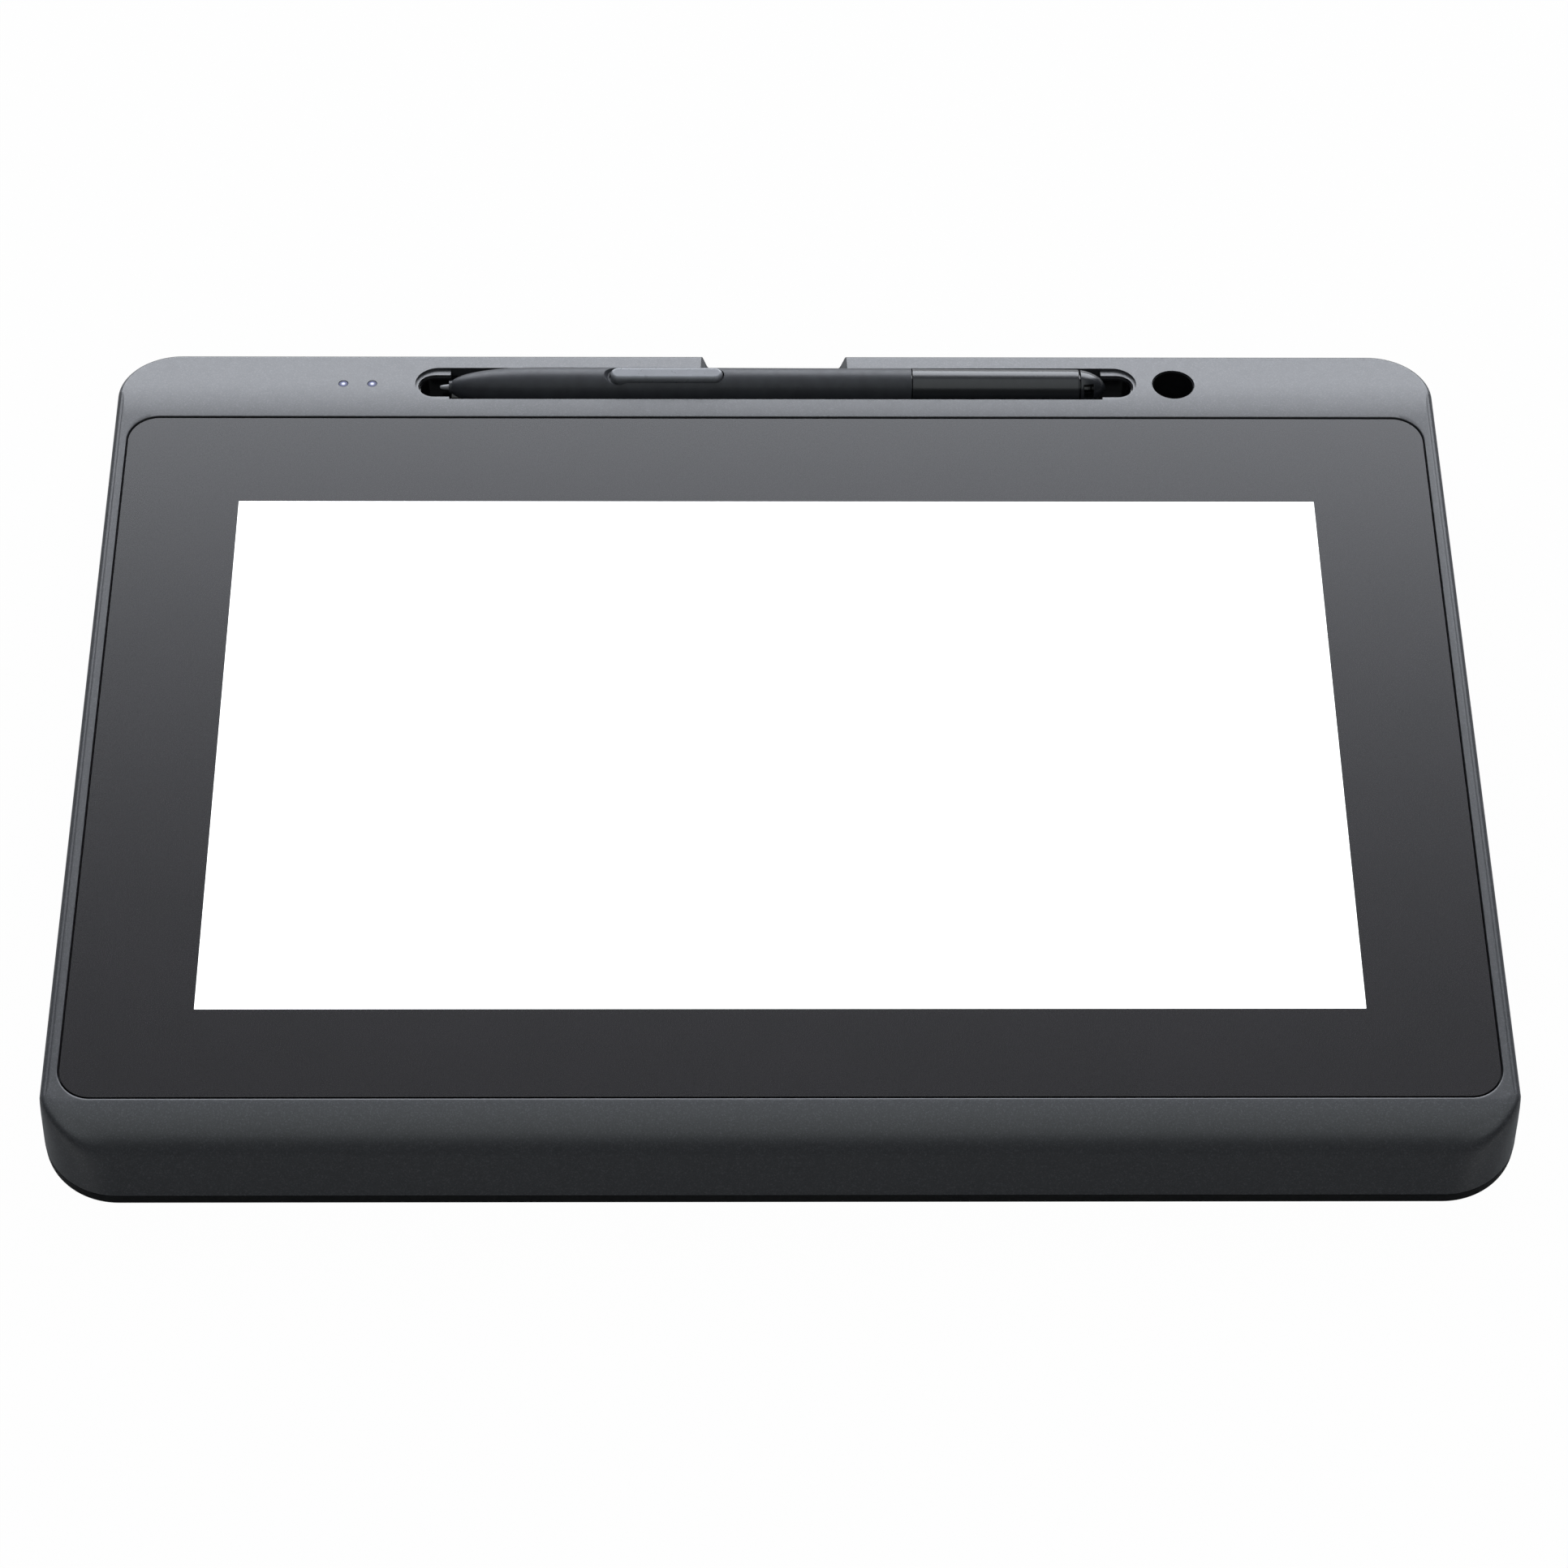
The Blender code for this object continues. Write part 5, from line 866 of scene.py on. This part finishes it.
window_plan = framed(WINDOW_X, WINDOW_FRONT, WINDOW_REAR, WINDOW_CORNER)
window_top, window_bottom = level(window_plan, TOP), level(window_plan, GLASS_BOTTOM)
loops = [glass_ring(0, GLASS_BOTTOM)]
loops += [glass_ring(inset, TOP - drop) for inset, drop in quarter_round(GROUND_EDGE, 4)]
glass = shade(loft("glass_face", loops + [window_top, window_bottom], glass_face, closed=True), 40)
settle(glass, "root", "glass_face", "cover_glass")
settle(loft("lit_window", [window_bottom, window_top], lit_panel), "root", "lit_panel")
dress(lit_panel, "lcd_panel")
dress(sheet_steel, "backlight_unit", "shield_plate", "chassis_plate")
dress(sheet_steel, "video_socket", "usb_socket", "lock_anchor")
dress(foam_tape, "glass_tape")

# %% [markdown]
# ## Lower half
# The lower half is a black tub with a round lower edge, a rim that meets the grey half, and a tongue
# that stands up inside it. Its underside has recesses for feet, screws and brass inserts, and a bay for
# the plugs that a sliding plate closes. The same plan function as the skin's gives its rings, so the two
# halves match all the way round the corners.

# %% Lower half
SCREW_PLACES = (131.5, 91.01), (133.1, 5.0), (127.0, -90.01), (45.0, -90.01)
SCREWS = [(side * x, y) for x, y in SCREW_PLACES for side in (1, -1)]
INSERTS = [(x, y) for x in (-37.5, 37.5) for y in (-37.5, 37.5)]
FEET = [(x, y) for y in (-82.01, 76.01) for x in (104.0, -104.0)]
SOCKETS = (-18, 11.4, 3.4), (2, 9.0, 3.2), (22, 6.0, 3.6)
SOCKET_Z, SOCKET_GAP, SOCKET_WINDOW_TOP = 6.4, 0.3, 8.2
BELOW, FLOOR_TOP, BAY_FRONT = UNDERSIDE - 1.0, UNDERSIDE + 2.0, HALF_DEPTH - 44.1
BAY_WALL, BAY_FRONT_TOP, BAY_SIDE_REAR = 1.5, 8.1, 98.3
FOOT_ROUND, TONGUE_INSET, TONGUE_WALL = 1.2, 2.3, 1.0
RIM_Z = LIP_Z - 0.2


def tub_ring(inset, front_inset, z):
    ring = plan(HALF_WIDTH - inset, front_inset - HALF_DEPTH, HALF_DEPTH - inset, *outer_middles)
    return level(ring, z)


def standing(name, outline, top):
    """A wall or a post that stands in the floor."""
    return prism(name, outline, "Z", FLOOR_TOP - 0.5, top)


def sunk(name, outline, top):
    """A cutter that comes up from below."""
    return prism(name, outline, "Z", BELOW, top)


tongue_front = TONGUE_INSET / math.sin(ROLL_ANGLE) + 1.27 / math.tan(ROLL_ANGLE)
outer, inner = (TONGUE_INSET, tongue_front), (TONGUE_INSET + TONGUE_WALL, tongue_front + TONGUE_WALL)
rings = [tub_ring(inset, inset, UNDERSIDE + rise) for rise, inset in quarter_round(FOOT_ROUND, 8)]
rings += [tub_ring(0, 0, RIM_Z), tub_ring(*outer, RIM_Z), tub_ring(*outer, TONGUE_TOP)]
rings += [tub_ring(*inner, TONGUE_TOP), tub_ring(*inner, FLOOR_TOP)]
tub = loft("housing_base", rings, black_moulding)
bay_outside = BAY_HALF + BAY_WALL
walls = [standing("bay_front", band(bay_outside, BAY_FRONT - BAY_WALL, BAY_FRONT), BAY_FRONT_TOP)]
for left, right in ((-bay_outside, -BAY_HALF), (BAY_HALF, bay_outside)):
    side = box((left, BAY_FRONT - BAY_WALL), (right, BAY_SIDE_REAR))
    walls.append(standing("bay_side", side, BAY_TOP))
walls += [standing("screw_post", circle(place, 3.2), FLOOR_TOP + 1.8) for place in SCREWS]
walls += [standing("insert_boss", circle(place, 4.3, 48), 5.9) for place in INSERTS]
carve(tub, walls, "UNION")
channel, mouth = (band(half, BAY_FRONT, HALF_DEPTH + 1) for half in (BAY_HALF, BAY_HALF - BAY_WALL))
cutters = [
    prism("bay_channel", channel, "Z", UNDERSIDE + 0.9, BAY_TOP + 1),
    sunk("bay_mouth", mouth, UNDERSIDE + 1.4),
]
for place in SCREWS:
    cutters.append(sunk("screw_bore", circle(place, 1.5, 24), FLOOR_TOP + 3))
    cutters.append(sunk("screw_sink", circle(place, 2.4, 40), UNDERSIDE + 2.1))
cutters += [sunk("insert_bore", circle(place, 3.1, 48), 7.0) for place in INSERTS]
cutters += [sunk("foot_pocket", capsule(place, 44.6, 10.6), UNDERSIDE + 0.6) for place in FEET]
for x, width, height in SOCKETS:
    low_corner = (x - width / 2 - SOCKET_GAP, SOCKET_Z - height / 2 - SOCKET_GAP)
    opening = box(low_corner, (x + width / 2 + SOCKET_GAP, SOCKET_WINDOW_TOP))
    cutters.append(prism("socket_window", opening, "Y", BAY_FRONT - 2.5, BAY_FRONT + 1))
carve(tub, cutters)
soften(tub, 0.2, 2)
settle(tub, "root", "black_moulding", "bottom_cover")
dress(black_moulding, "power_jack", "power_switch")
dress(board_lacquer, "main_board", "button_board")
dress(bare_board, "sensor_board", "pen_core")
dress(ribbon_amber, "display_ribbon", "sensor_ribbon")

# %% [markdown]
# ## Geometry Nodes for what repeats
# Screws, feet, grooves and inserts come in sets. One small tree makes each kind from named sizes and
# puts it on every place in a list of points, so a size is changed once for all of them. The helpers
# below open and end a tree, make its commonest shapes, set a modifier's inputs by identifier, and bake
# the result.

# %% Tree helpers


def new_tree(name, **kinds):
    """A tree with its places, the named inputs of each kind, a material and the shape it puts out."""
    tree = bpy.data.node_groups.new(name, "GeometryNodeTree")
    for kind, labels in {"Geometry": ("Places",), **kinds, "Material": ("Material",)}.items():
        for label in labels:
            tree.interface.new_socket(label, in_out="INPUT", socket_type=f"NodeSocket{kind}")
    tree.interface.new_socket("Shape", in_out="OUTPUT", socket_type="NodeSocketGeometry")
    return tree, tree.nodes.new("NodeGroupInput").outputs


def vector(tree, **parts):
    return output(tree, "ShaderNodeCombineXYZ", parts)


def combined(tree, operation, meshes):
    """The exact solver keeps the result closed where faces lie in one plane."""
    return output(tree, "GeometryNodeMeshBoolean", meshes, operation=operation, solver="EXACT")


def united(tree, *meshes):
    return combined(tree, "UNION", {"Mesh 2": list(meshes)})


def cut(tree, mesh, cutter):
    return combined(tree, "DIFFERENCE", {"Mesh 1": mesh, "Mesh 2": cutter})


def rod(tree, radius, length, vertices, start=0.0):
    """An upright cylinder that starts at a height."""
    sizes = {"Vertices": vertices, "Radius": radius, "Depth": length}
    mesh = output(tree, "GeometryNodeMeshCylinder", sizes)
    rise = vector(tree, Z=calculate(tree, "MULTIPLY_ADD", length, 0.5, start))
    return output(tree, "GeometryNodeTransform", {"Geometry": mesh, "Translation": rise})


def slab(tree, outline, height):
    """A closed body that stands on a closed curve."""
    base = output(tree, "GeometryNodeFillCurve", {"Curve": outline}, mode="NGONS")
    rise = {"Mesh": base, "Offset": vector(tree, Z=height), "Individual": False}
    raised = output(tree, "GeometryNodeExtrudeMesh", rise)
    both = [raised, output(tree, "GeometryNodeFlipFaces", {"Mesh": base})]
    both = output(tree, "GeometryNodeJoinGeometry", {"Geometry": both})
    return output(tree, "GeometryNodeMergeByDistance", {"Geometry": both, "Distance": SLIVER})


def end_tree(tree, given, shape, **more):
    """Every tree ends by setting its shape out, then making it real geometry with its material."""
    laid = {"Points": given["Places"], "Instance": shape, **more}
    laid = output(tree, "GeometryNodeInstanceOnPoints", laid)
    real = output(tree, "GeometryNodeRealizeInstances", {"Geometry": laid})
    dressed = output(tree, "GeometryNodeSetMaterial", {"Geometry": real, "Material": given["Material"]})
    put(tree, "NodeGroupOutput", {"Shape": dressed})
    print("tree:", tree.name, "with", len(tree.nodes), "nodes")


def grow(name, tree, places, finish, sizes, **others):
    """Runs a tree on a mesh of points, with its sizes in millimetres, and returns the plain result."""
    mesh = bpy.data.meshes.new(name)
    mesh.from_pydata([[MM * value for value in place] for place in places], [], [])
    made = added(name, mesh)
    modifier = made.modifiers.new("shape", "NODES")
    modifier.node_group = tree
    values = {"Material": finish, **others, **{label: MM * size for label, size in sizes.items()}}
    for item in tree.interface.items_tree:
        key = item.name.replace(" ", "_")
        if item.in_out == "INPUT" and key in values:
            modifier[item.identifier] = values[key]
    return plain(made)


# %% A tree for rounded bars
bar_tree, given = new_tree("rounded_bars", Float=("Length", "Width", "Height"))
sizes = {"Width": given["Length"], "Height": given["Width"]}
outline = output(bar_tree, "GeometryNodeCurvePrimitiveQuadrilateral", sizes)
corner = {"Curve": outline, "Count": 12, "Radius": calculate(bar_tree, "MULTIPLY", given["Width"], 0.4999)}
outline = output(bar_tree, "GeometryNodeFilletCurve", corner, mode="POLY")
end_tree(bar_tree, given, slab(bar_tree, outline, given["Height"]))

# %% A tree for screws
screw_sizes = "Head Radius", "Head Height", "Shank Radius", "Shank Length", "Recess Width", "Recess Depth"
screw_tree, given = new_tree("screws", Float=screw_sizes, Int=("Seed",))
head = rod(screw_tree, given["Head Radius"], given["Head Height"], 40)
shank = rod(screw_tree, given["Shank Radius"], given["Shank Length"], 24, given["Recess Depth"])
deep = calculate(screw_tree, "MULTIPLY", given["Recess Depth"], 2.0)
wide = given["Recess Width"]
narrow = calculate(screw_tree, "MULTIPLY", wide, 0.24)
blades = []
for across, along in ((wide, narrow), (narrow, wide)):
    size = vector(screw_tree, X=across, Y=along, Z=deep)
    blades.append(output(screw_tree, "GeometryNodeMeshCube", {"Size": size}))
screw = cut(screw_tree, united(screw_tree, head, shank), united(screw_tree, *blades))
turn = put(screw_tree, "FunctionNodeRandomValue", {"Seed": given["Seed"]}, data_type="FLOAT")
for socket in turn.inputs:
    if socket.name == "Max" and socket.type == "VALUE":
        socket.default_value = math.pi
angle = next(socket for socket in turn.outputs if socket.type == "VALUE" and socket.enabled)
end_tree(screw_tree, given, screw, Rotation=vector(screw_tree, Z=angle))

# %% A tree for knurled inserts
insert_sizes = "Radius", "Bore", "Height", "Tooth Depth"
insert_tree, given = new_tree("knurled_inserts", Float=insert_sizes, Int=("Teeth",))
sizes = {"Resolution": calculate(insert_tree, "MULTIPLY", given["Teeth"], 2.0), "Radius": given["Radius"]}
rim = output(insert_tree, "GeometryNodeCurvePrimitiveCircle", sizes, mode="RADIUS")
odd = calculate(insert_tree, "MODULO", output(insert_tree, "GeometryNodeInputIndex"), 2.0)
valley = calculate(insert_tree, "MULTIPLY", odd, given["Tooth Depth"])
shrink = calculate(insert_tree, "SUBTRACT", 1.0, calculate(insert_tree, "DIVIDE", valley, given["Radius"]))
scaled = {"Vector": output(insert_tree, "GeometryNodeInputPosition"), "Scale": shrink}
inwards = output(insert_tree, "ShaderNodeVectorMath", scaled, operation="SCALE")
teeth = output(insert_tree, "GeometryNodeSetPosition", {"Geometry": rim, "Position": inwards})
long_bore = calculate(insert_tree, "MULTIPLY", given["Height"], 3.0)
bore = rod(insert_tree, given["Bore"], long_bore, 48, -0.004)
end_tree(insert_tree, given, cut(insert_tree, slab(insert_tree, teeth, given["Height"]), bore))

# %% [markdown]
# ## Fasteners and feet
# Eight plated screws close the housing from below, four turned brass inserts take a stand, and four long
# rubber feet carry the pad. A real screw is never tightened to the same angle as its neighbour, so the
# tree turns each by a random angle from a fixed seed.

# %% Screws, inserts and feet
SCREW_Z, INSERT_Z, TREAD_STEP = 1.9, 1.6, 5.0

sizes = {"Head_Radius": 2.1, "Head_Height": 1.4, "Shank_Radius": 0.9, "Shank_Length": 9.2}
sizes |= {"Recess_Width": 2.3, "Recess_Depth": 0.6}
housing_screws = grow("housing_screws", screw_tree, level(SCREWS, SCREW_Z), screw_zinc, sizes, Seed=4)
soften(housing_screws, 0.16, 3)
settle(housing_screws, "root", "sheet_steel", *numbered("housing_screw", 8))
sizes = {"Radius": 2.8, "Bore": 2.0, "Height": 4.0, "Tooth_Depth": 0.12}
inserts = grow("mount_inserts", insert_tree, level(INSERTS, INSERT_Z), brass, sizes, Teeth=36)
soften(inserts, 0.08, 1)
settle(inserts, "root", "brass", *numbered("mount_insert", 4))
feet = grow("feet", bar_tree, level(FEET, 0.0), foot_rubber, {"Length": 44, "Width": 10, "Height": 1.8})
tread_sizes = {"Length": 1.2, "Width": 0.8, "Height": 0.5}
tread_places = [(x + TREAD_STEP * (number - 3), y, -0.2) for x, y in FEET for number in range(7)]
carve(feet, [grow("treads", bar_tree, tread_places, foot_rubber, tread_sizes)])
soften(feet, 0.3, 3)
settle(feet, "root", "foot_rubber", *numbered("foot", 4))
dress(screw_zinc, *numbered("chassis_screw", 4), *numbered("board_screw", 4), *numbered("button_screw", 2))

# %% [markdown]
# ## Tray, collars and cup
# The tray is a polished black insert under the slot. Its trough is a round bore a little wider than the
# pen, and its end pits go under the shelves. A thin collar of the same black stands up inside each
# shelf's hole, which is what draws the dark outline there.

# %% Tray and cup
TRAY_BOTTOM, TRAY_TOP = 8.175, 12.1
CUP_BOTTOM, CUP_FLOOR, CUP_RADIUS, CUP_WALL = 3.8, 4.8, 4.45, 0.2

tray_plan = capsule((0, PEN_Y), SLOT_LENGTH + 2, 2 * TROUGH + 2, 32)
tray = prism("tray", tray_plan, "Z", TRAY_BOTTOM, TRAY_TOP, gloss_black)
collar_plan, collar_hole = pit_outline(0.05), pit_outline(0.42)
collar = loft("collar", [level(collar_plan, 11.9), draped(collar_plan, shelf_at, 1.0)])
carve(collar, [prism("collar_middle", band(WELL_LENGTH / 2, PEN_Y - 6, PEN_Y + 6), "Z", 11, ABOVE)])
carve(tray, [collar], "UNION")
carve(tray, [
    prism("trough", circle((PEN_Y, PEN_Z), TROUGH, 96), "X", -WELL_LENGTH / 2, WELL_LENGTH / 2),
    prism("end_pits", collar_hole, "Z", TROUGH_FLOOR + 0.67, ABOVE),
    prism("tray_notch", notch_outline(), "Y", PEN_Y, HALF_DEPTH),
])
soften(tray, 0.15, 3)
settle(tray, "root", "gloss_black", "pen_tray")
radii = CUP_RADIUS + 0.95, CUP_RADIUS, CUP_RADIUS - CUP_WALL
outer, neck, hole = (circle(STAND, radius, 96) for radius in radii)
loops = [level(outer, CUP_BOTTOM), level(outer, TRAY_TOP), level(neck, TRAY_TOP)]
loops += [draped(neck, top_at, 0.35), draped(hole, top_at, 0.35), level(hole, CUP_FLOOR)]
cup = loft("stand_cup", loops, black_moulding)
soften(cup, 0.1, 2)
settle(cup, "root", "gloss_black", "pen_stand_cup")

# %% [markdown]
# ## The pen's grip
# A pen body is a shape that follows a rule: a blunt nose that swells along a power curve to a nearly
# straight grip. The tree draws a line, spaces its points closer near the nose, works out the girth at
# each point and sweeps a circle along it, so a few numbers set the nose, the girth and the taper.

# %% A tree for a turned pen body
pen_sizes = "Length", "Radius", "Taper", "Nose Length", "Nose Radius", "Exponent"
pen_tree, given = new_tree("pen_body", Float=pen_sizes, Int=("Rings", "Sides"))


def worked(operation, *values):
    return calculate(pen_tree, operation, *values)


line = output(pen_tree, "GeometryNodeCurvePrimitiveLine", {"End": vector(pen_tree, X=given["Length"])})
line = output(pen_tree, "GeometryNodeResampleCurve", {"Curve": line, "Count": given["Rings"]}, mode="COUNT")
factor = output(pen_tree, "GeometryNodeSplineParameter")
run = worked("MULTIPLY", worked("POWER", factor, 2.0), given["Length"])
spaced = output(pen_tree, "GeometryNodeSetPosition", {"Geometry": line, "Position": vector(pen_tree, X=run)})
along = sides(pen_tree, output(pen_tree, "GeometryNodeInputPosition"))["X"]
nose_share = worked("MINIMUM", worked("DIVIDE", along, given["Nose Length"]), 1.0)
left_over = worked("POWER", worked("SUBTRACT", 1.0, nose_share), given["Exponent"])
swell = worked("POWER", worked("SUBTRACT", 1.0, left_over), worked("DIVIDE", 1.0, given["Exponent"]))
straight = worked("SUBTRACT", given["Length"], given["Nose Length"])
past_nose = worked("DIVIDE", worked("SUBTRACT", along, given["Nose Length"]), straight)
past_nose = worked("MAXIMUM", past_nose, 0.0)
thinner = worked("MULTIPLY", given["Taper"], past_nose)
girth = worked("SUBTRACT", worked("MULTIPLY", given["Radius"], swell), thinner)
girth = worked("MAXIMUM", girth, given["Nose Radius"])
unit_ring = {"Resolution": given["Sides"], "Radius": 1.0}
ring = output(pen_tree, "GeometryNodeCurvePrimitiveCircle", unit_ring, mode="RADIUS")
swept = {"Curve": spaced, "Profile Curve": ring, "Scale": girth, "Fill Caps": True}
end_tree(pen_tree, given, output(pen_tree, "GeometryNodeCurveToMesh", swept))

# %% Pen grip
NOSE_X, GRIP_END, GRIP_RADIUS, PEN_BORE = -69.4, 28.7, 4.25, 3.1
PEN_AXIS, CREST = (PEN_Y, PEN_Z), PEN_Z + GRIP_RADIUS
SWITCH = (NOSE_X + 46.2, PEN_Y)

sizes = {"Length": GRIP_END - NOSE_X, "Radius": GRIP_RADIUS, "Taper": 0.2}
sizes |= {"Nose_Length": 22.0, "Nose_Radius": 1.35}
counts = {"Rings": 110, "Sides": 96}
grip = grow("grip", pen_tree, [(NOSE_X, PEN_Y, PEN_Z)], grip_rubber, sizes, Exponent=2.4, **counts)
dish = [(CREST - 1.0, 2.3), (CREST - 0.85, 2.45), (CREST - 0.6, 2.55), (CREST - 0.1, 3.0), (CREST + 1, 3.9)]
bore = [(NOSE_X - 1, 1.05), (NOSE_X + 9.5, 1.05), (NOSE_X + 17, PEN_BORE), (GRIP_END + 1, PEN_BORE)]
carve(grip, [
    prism("switch_slot", capsule(SWITCH, 24.4, 4.0, 20), "Z", PEN_Z, CREST + 1),
    lathe("finger_dish", dish, "Z", (SWITCH[0] - 10.2, PEN_Y)),
    lathe("grip_bore", bore, "X", PEN_AXIS),
])
soften(grip, 0.15, 2, 40)
settle(grip, "pen", "grip_rubber", "pen_grip")

# %% [markdown]
# ## The pen's rear, switch and nib
# Behind the grip come a barrel and an end cap of one satin plastic, and the two close together in one
# long half-ellipse, so one function gives the girth of both. The cap's slot for a tether leans well over
# towards the user. The switch is a slim bar with round ends whose flange keeps it in its slot.

# %% Rear barrel and end cap
BARREL_RADIUS, CLOSE_FROM, CAP_END = 3.85, 63.0, 70.0


def closing(start, end, steps):
    """The pen's end from one place to another, with rings closer together towards the tip."""
    profile = []
    for step in range(steps + 1):
        x = blend(start, end, math.sin(QUARTER * step / steps))
        share = (x - CLOSE_FROM) / (CAP_END - CLOSE_FROM)
        profile.append((x, BARREL_RADIUS * math.sqrt(max(1 - share**2, 0.0))))
    return profile


barrel_profile = [(22.9, 2.8), (28.9, 2.8), (28.9, 3.86), (28.95, 3.95), (29.1, 3.98)]
barrel_profile += [(CLOSE_FROM, BARREL_RADIUS), *closing(CLOSE_FROM + 0.3, 64.2, 4)]
barrel_profile += [(64.3, 3.62), (64.3, PEN_BORE), (29.2, PEN_BORE), (28.9, 2.5), (22.9, 2.5)]
barrel = lathe("barrel", barrel_profile, "X", PEN_AXIS, barrel_plastic, hollow=True, steps=96)
soften(barrel, 0.03, 1, 60)
settle(barrel, "pen", "barrel_plastic", "pen_rear_barrel")
cap_profile = [(58.6, 2.8), (64.6, 2.8), (64.6, 3.60)] + closing(64.7, CAP_END - 0.004, 24)
cap = lathe("end_cap", cap_profile, "X", PEN_AXIS, barrel_plastic, steps=96)
tilt, tall, wide = math.radians(60), 1.7, 6.0
slot_ends = []
for x in (65.3, 67.4):
    leaning = []
    for across, up in box((-wide, -tall), (wide, tall)):
        y = PEN_Y - across * math.sin(tilt) - up * math.cos(tilt)
        leaning.append((x, y, PEN_Z + across * math.cos(tilt) - up * math.sin(tilt)))
    slot_ends.append(leaning)
carve(cap, [loft("tether_slot", slot_ends)])
soften(cap, 0.12, 2)
settle(cap, "pen", "grip_rubber", "pen_end_cap")

# %% Switch and nib
SWITCH_LENGTH, SWITCH_WIDTH, SWITCH_ROUND = 23.8, 3.4, 0.75
SWITCH_TOP, SEAT = CREST + 0.5, PEN_Z + PEN_BORE - 0.7
NIB_TIP, NIB_ROUND = NOSE_X - 2.0, 0.4

switch_rings = [level(capsule(SWITCH, SWITCH_LENGTH, SWITCH_WIDTH, 20), SEAT - 0.1)]
for inset, drop in quarter_round(SWITCH_ROUND, 8):
    outline = capsule(SWITCH, SWITCH_LENGTH - 2 * inset, SWITCH_WIDTH - 2 * inset, 20)
    switch_rings.append(level(outline, SWITCH_TOP - drop))
switch = loft("switch", switch_rings, switch_plastic)
carve(switch, [prism("switch_flange", capsule(SWITCH, 26.4, 2.8), "Z", SEAT - 0.6, SEAT)], "UNION")
soften(switch, 0.05, 1, 60)
settle(switch, "pen_switch", "switch_grey", "pen_switch")
nib_end = node_box("pen_nib")[1][0]
nib_profile = [(NIB_TIP + back, NIB_ROUND - missing) for back, missing in quarter_round(NIB_ROUND, 8)[1:]]
nib_profile += [(NOSE_X - 0.1, 0.62), (NOSE_X + 0.6, 0.7), (nib_end - 0.1, 0.7), (nib_end, 0.6)]
nib = shade(lathe("nib", nib_profile, "X", PEN_AXIS, nib_plastic, steps=32), 40)
settle(nib, "pen_nib", "nib_plastic", "pen_nib")

# %% [markdown]
# ## Button, lights and cable cover
# The power button stands out of the rear wall on a flange that keeps it in. The light guides follow the
# slope of the face. The cable cover is a plate with a rear wall, a cut-out for the cables, and runners
# that hang in the bay; five grooves near its rear edge, made by the bar tree, give a thumb its grip.

# %% Power button and status lights
BUTTON_LENGTH, BUTTON_WIDTH = 11.0, 3.6
COLLAR_RADIUS, COLLAR_BOTTOM = 1.6, 11.2

button_low, button_high = node_box("power_button")
button_middle = (sum(corner[0] for corner in (button_low, button_high)) / 2, WALL_SLOT_Z)
button_face = button_high[1]
button_rings = []
stations = (button_low[1] + 0.9, 0), (button_face - 0.5, 0), (button_face - 0.2, 0.12), (button_face, 0.45)
for y, inset in stations:
    outline = capsule(button_middle, BUTTON_LENGTH - 2 * inset, BUTTON_WIDTH - 2 * inset, 20)
    button_rings.append([(x, y, z) for x, z in outline])
button = loft("power_button_cap", button_rings, black_moulding)
flange = capsule(button_middle, button_high[0] - button_low[0], button_high[2] - button_low[2], 20)
carve(button, [prism("button_flange", flange, "Y", button_low[1] + 0.15, button_low[1] + 1.0)], "UNION")
soften(button, 0.12, 2)
settle(button, "power_button", "black_moulding", "power_button")
for side, place in zip(("left", "right"), LIGHTS):
    guide_low = node_box(f"status_light_{side}")[0][2]
    radii = GUIDE_RADIUS, COLLAR_RADIUS, GUIDE_RADIUS - 0.06
    stem, collar, tip = (circle(place, radius, 48) for radius in radii)
    loops = [level(stem, guide_low), level(stem, COLLAR_BOTTOM)]
    loops += [level(collar, COLLAR_BOTTOM), level(collar, TRAY_TOP)]
    loops += [level(stem, TRAY_TOP), draped(stem, top_at, 0.12), draped(tip, top_at, 0.06)]
    guide = shade(loft(f"light_{side}", loops, light_guide), 35)
    settle(guide, "root", "light_guide", f"status_light_{side}")

# %% Cable cover
COVER_FRONT, COVER_REAR, COVER_TOP = BAY_FRONT + 0.3, HALF_DEPTH - 0.4, BAY_TOP - 0.3
COVER_WALL, COVER_HALF, RUNNER_HALF = 1.6, 43.0, 41.5

edge = arc((COVER_REAR - FOOT_ROUND, UNDERSIDE + FOOT_ROUND), FOOT_ROUND, FOOT_ROUND, -QUARTER, 0, 8)
outline = [(COVER_FRONT, UNDERSIDE), *edge, (COVER_REAR, COVER_TOP), (COVER_REAR - COVER_WALL, COVER_TOP)]
outline += [(COVER_REAR - COVER_WALL, FLOOR_TOP), (COVER_FRONT, FLOOR_TOP)]
plate = prism("cable_plate", outline, "X", -COVER_HALF, COVER_HALF, black_moulding)
cutters = [prism("outlet", band(19, FLOOR_TOP, 9), "Y", COVER_REAR - 3, COVER_REAR + 1)]
for left, right in ((-COVER_HALF - 1, -RUNNER_HALF), (RUNNER_HALF, COVER_HALF + 1)):
    runner = box((left, COVER_FRONT - 1), (right, COVER_REAR + 1))
    cutters.append(sunk("runner_step", runner, FLOOR_TOP - 0.8))
rows = [(0, COVER_REAR - 6 - 2.2 * number, UNDERSIDE - 0.5) for number in range(5)]
groove_sizes = {"Length": 24, "Width": 1.0, "Height": 1.0}
carve(plate, cutters + [grow("grooves", bar_tree, rows, black_moulding, groove_sizes)])
soften(plate, 0.2, 2)
settle(plate, "cable_cover", "black_moulding", "cable_cover")
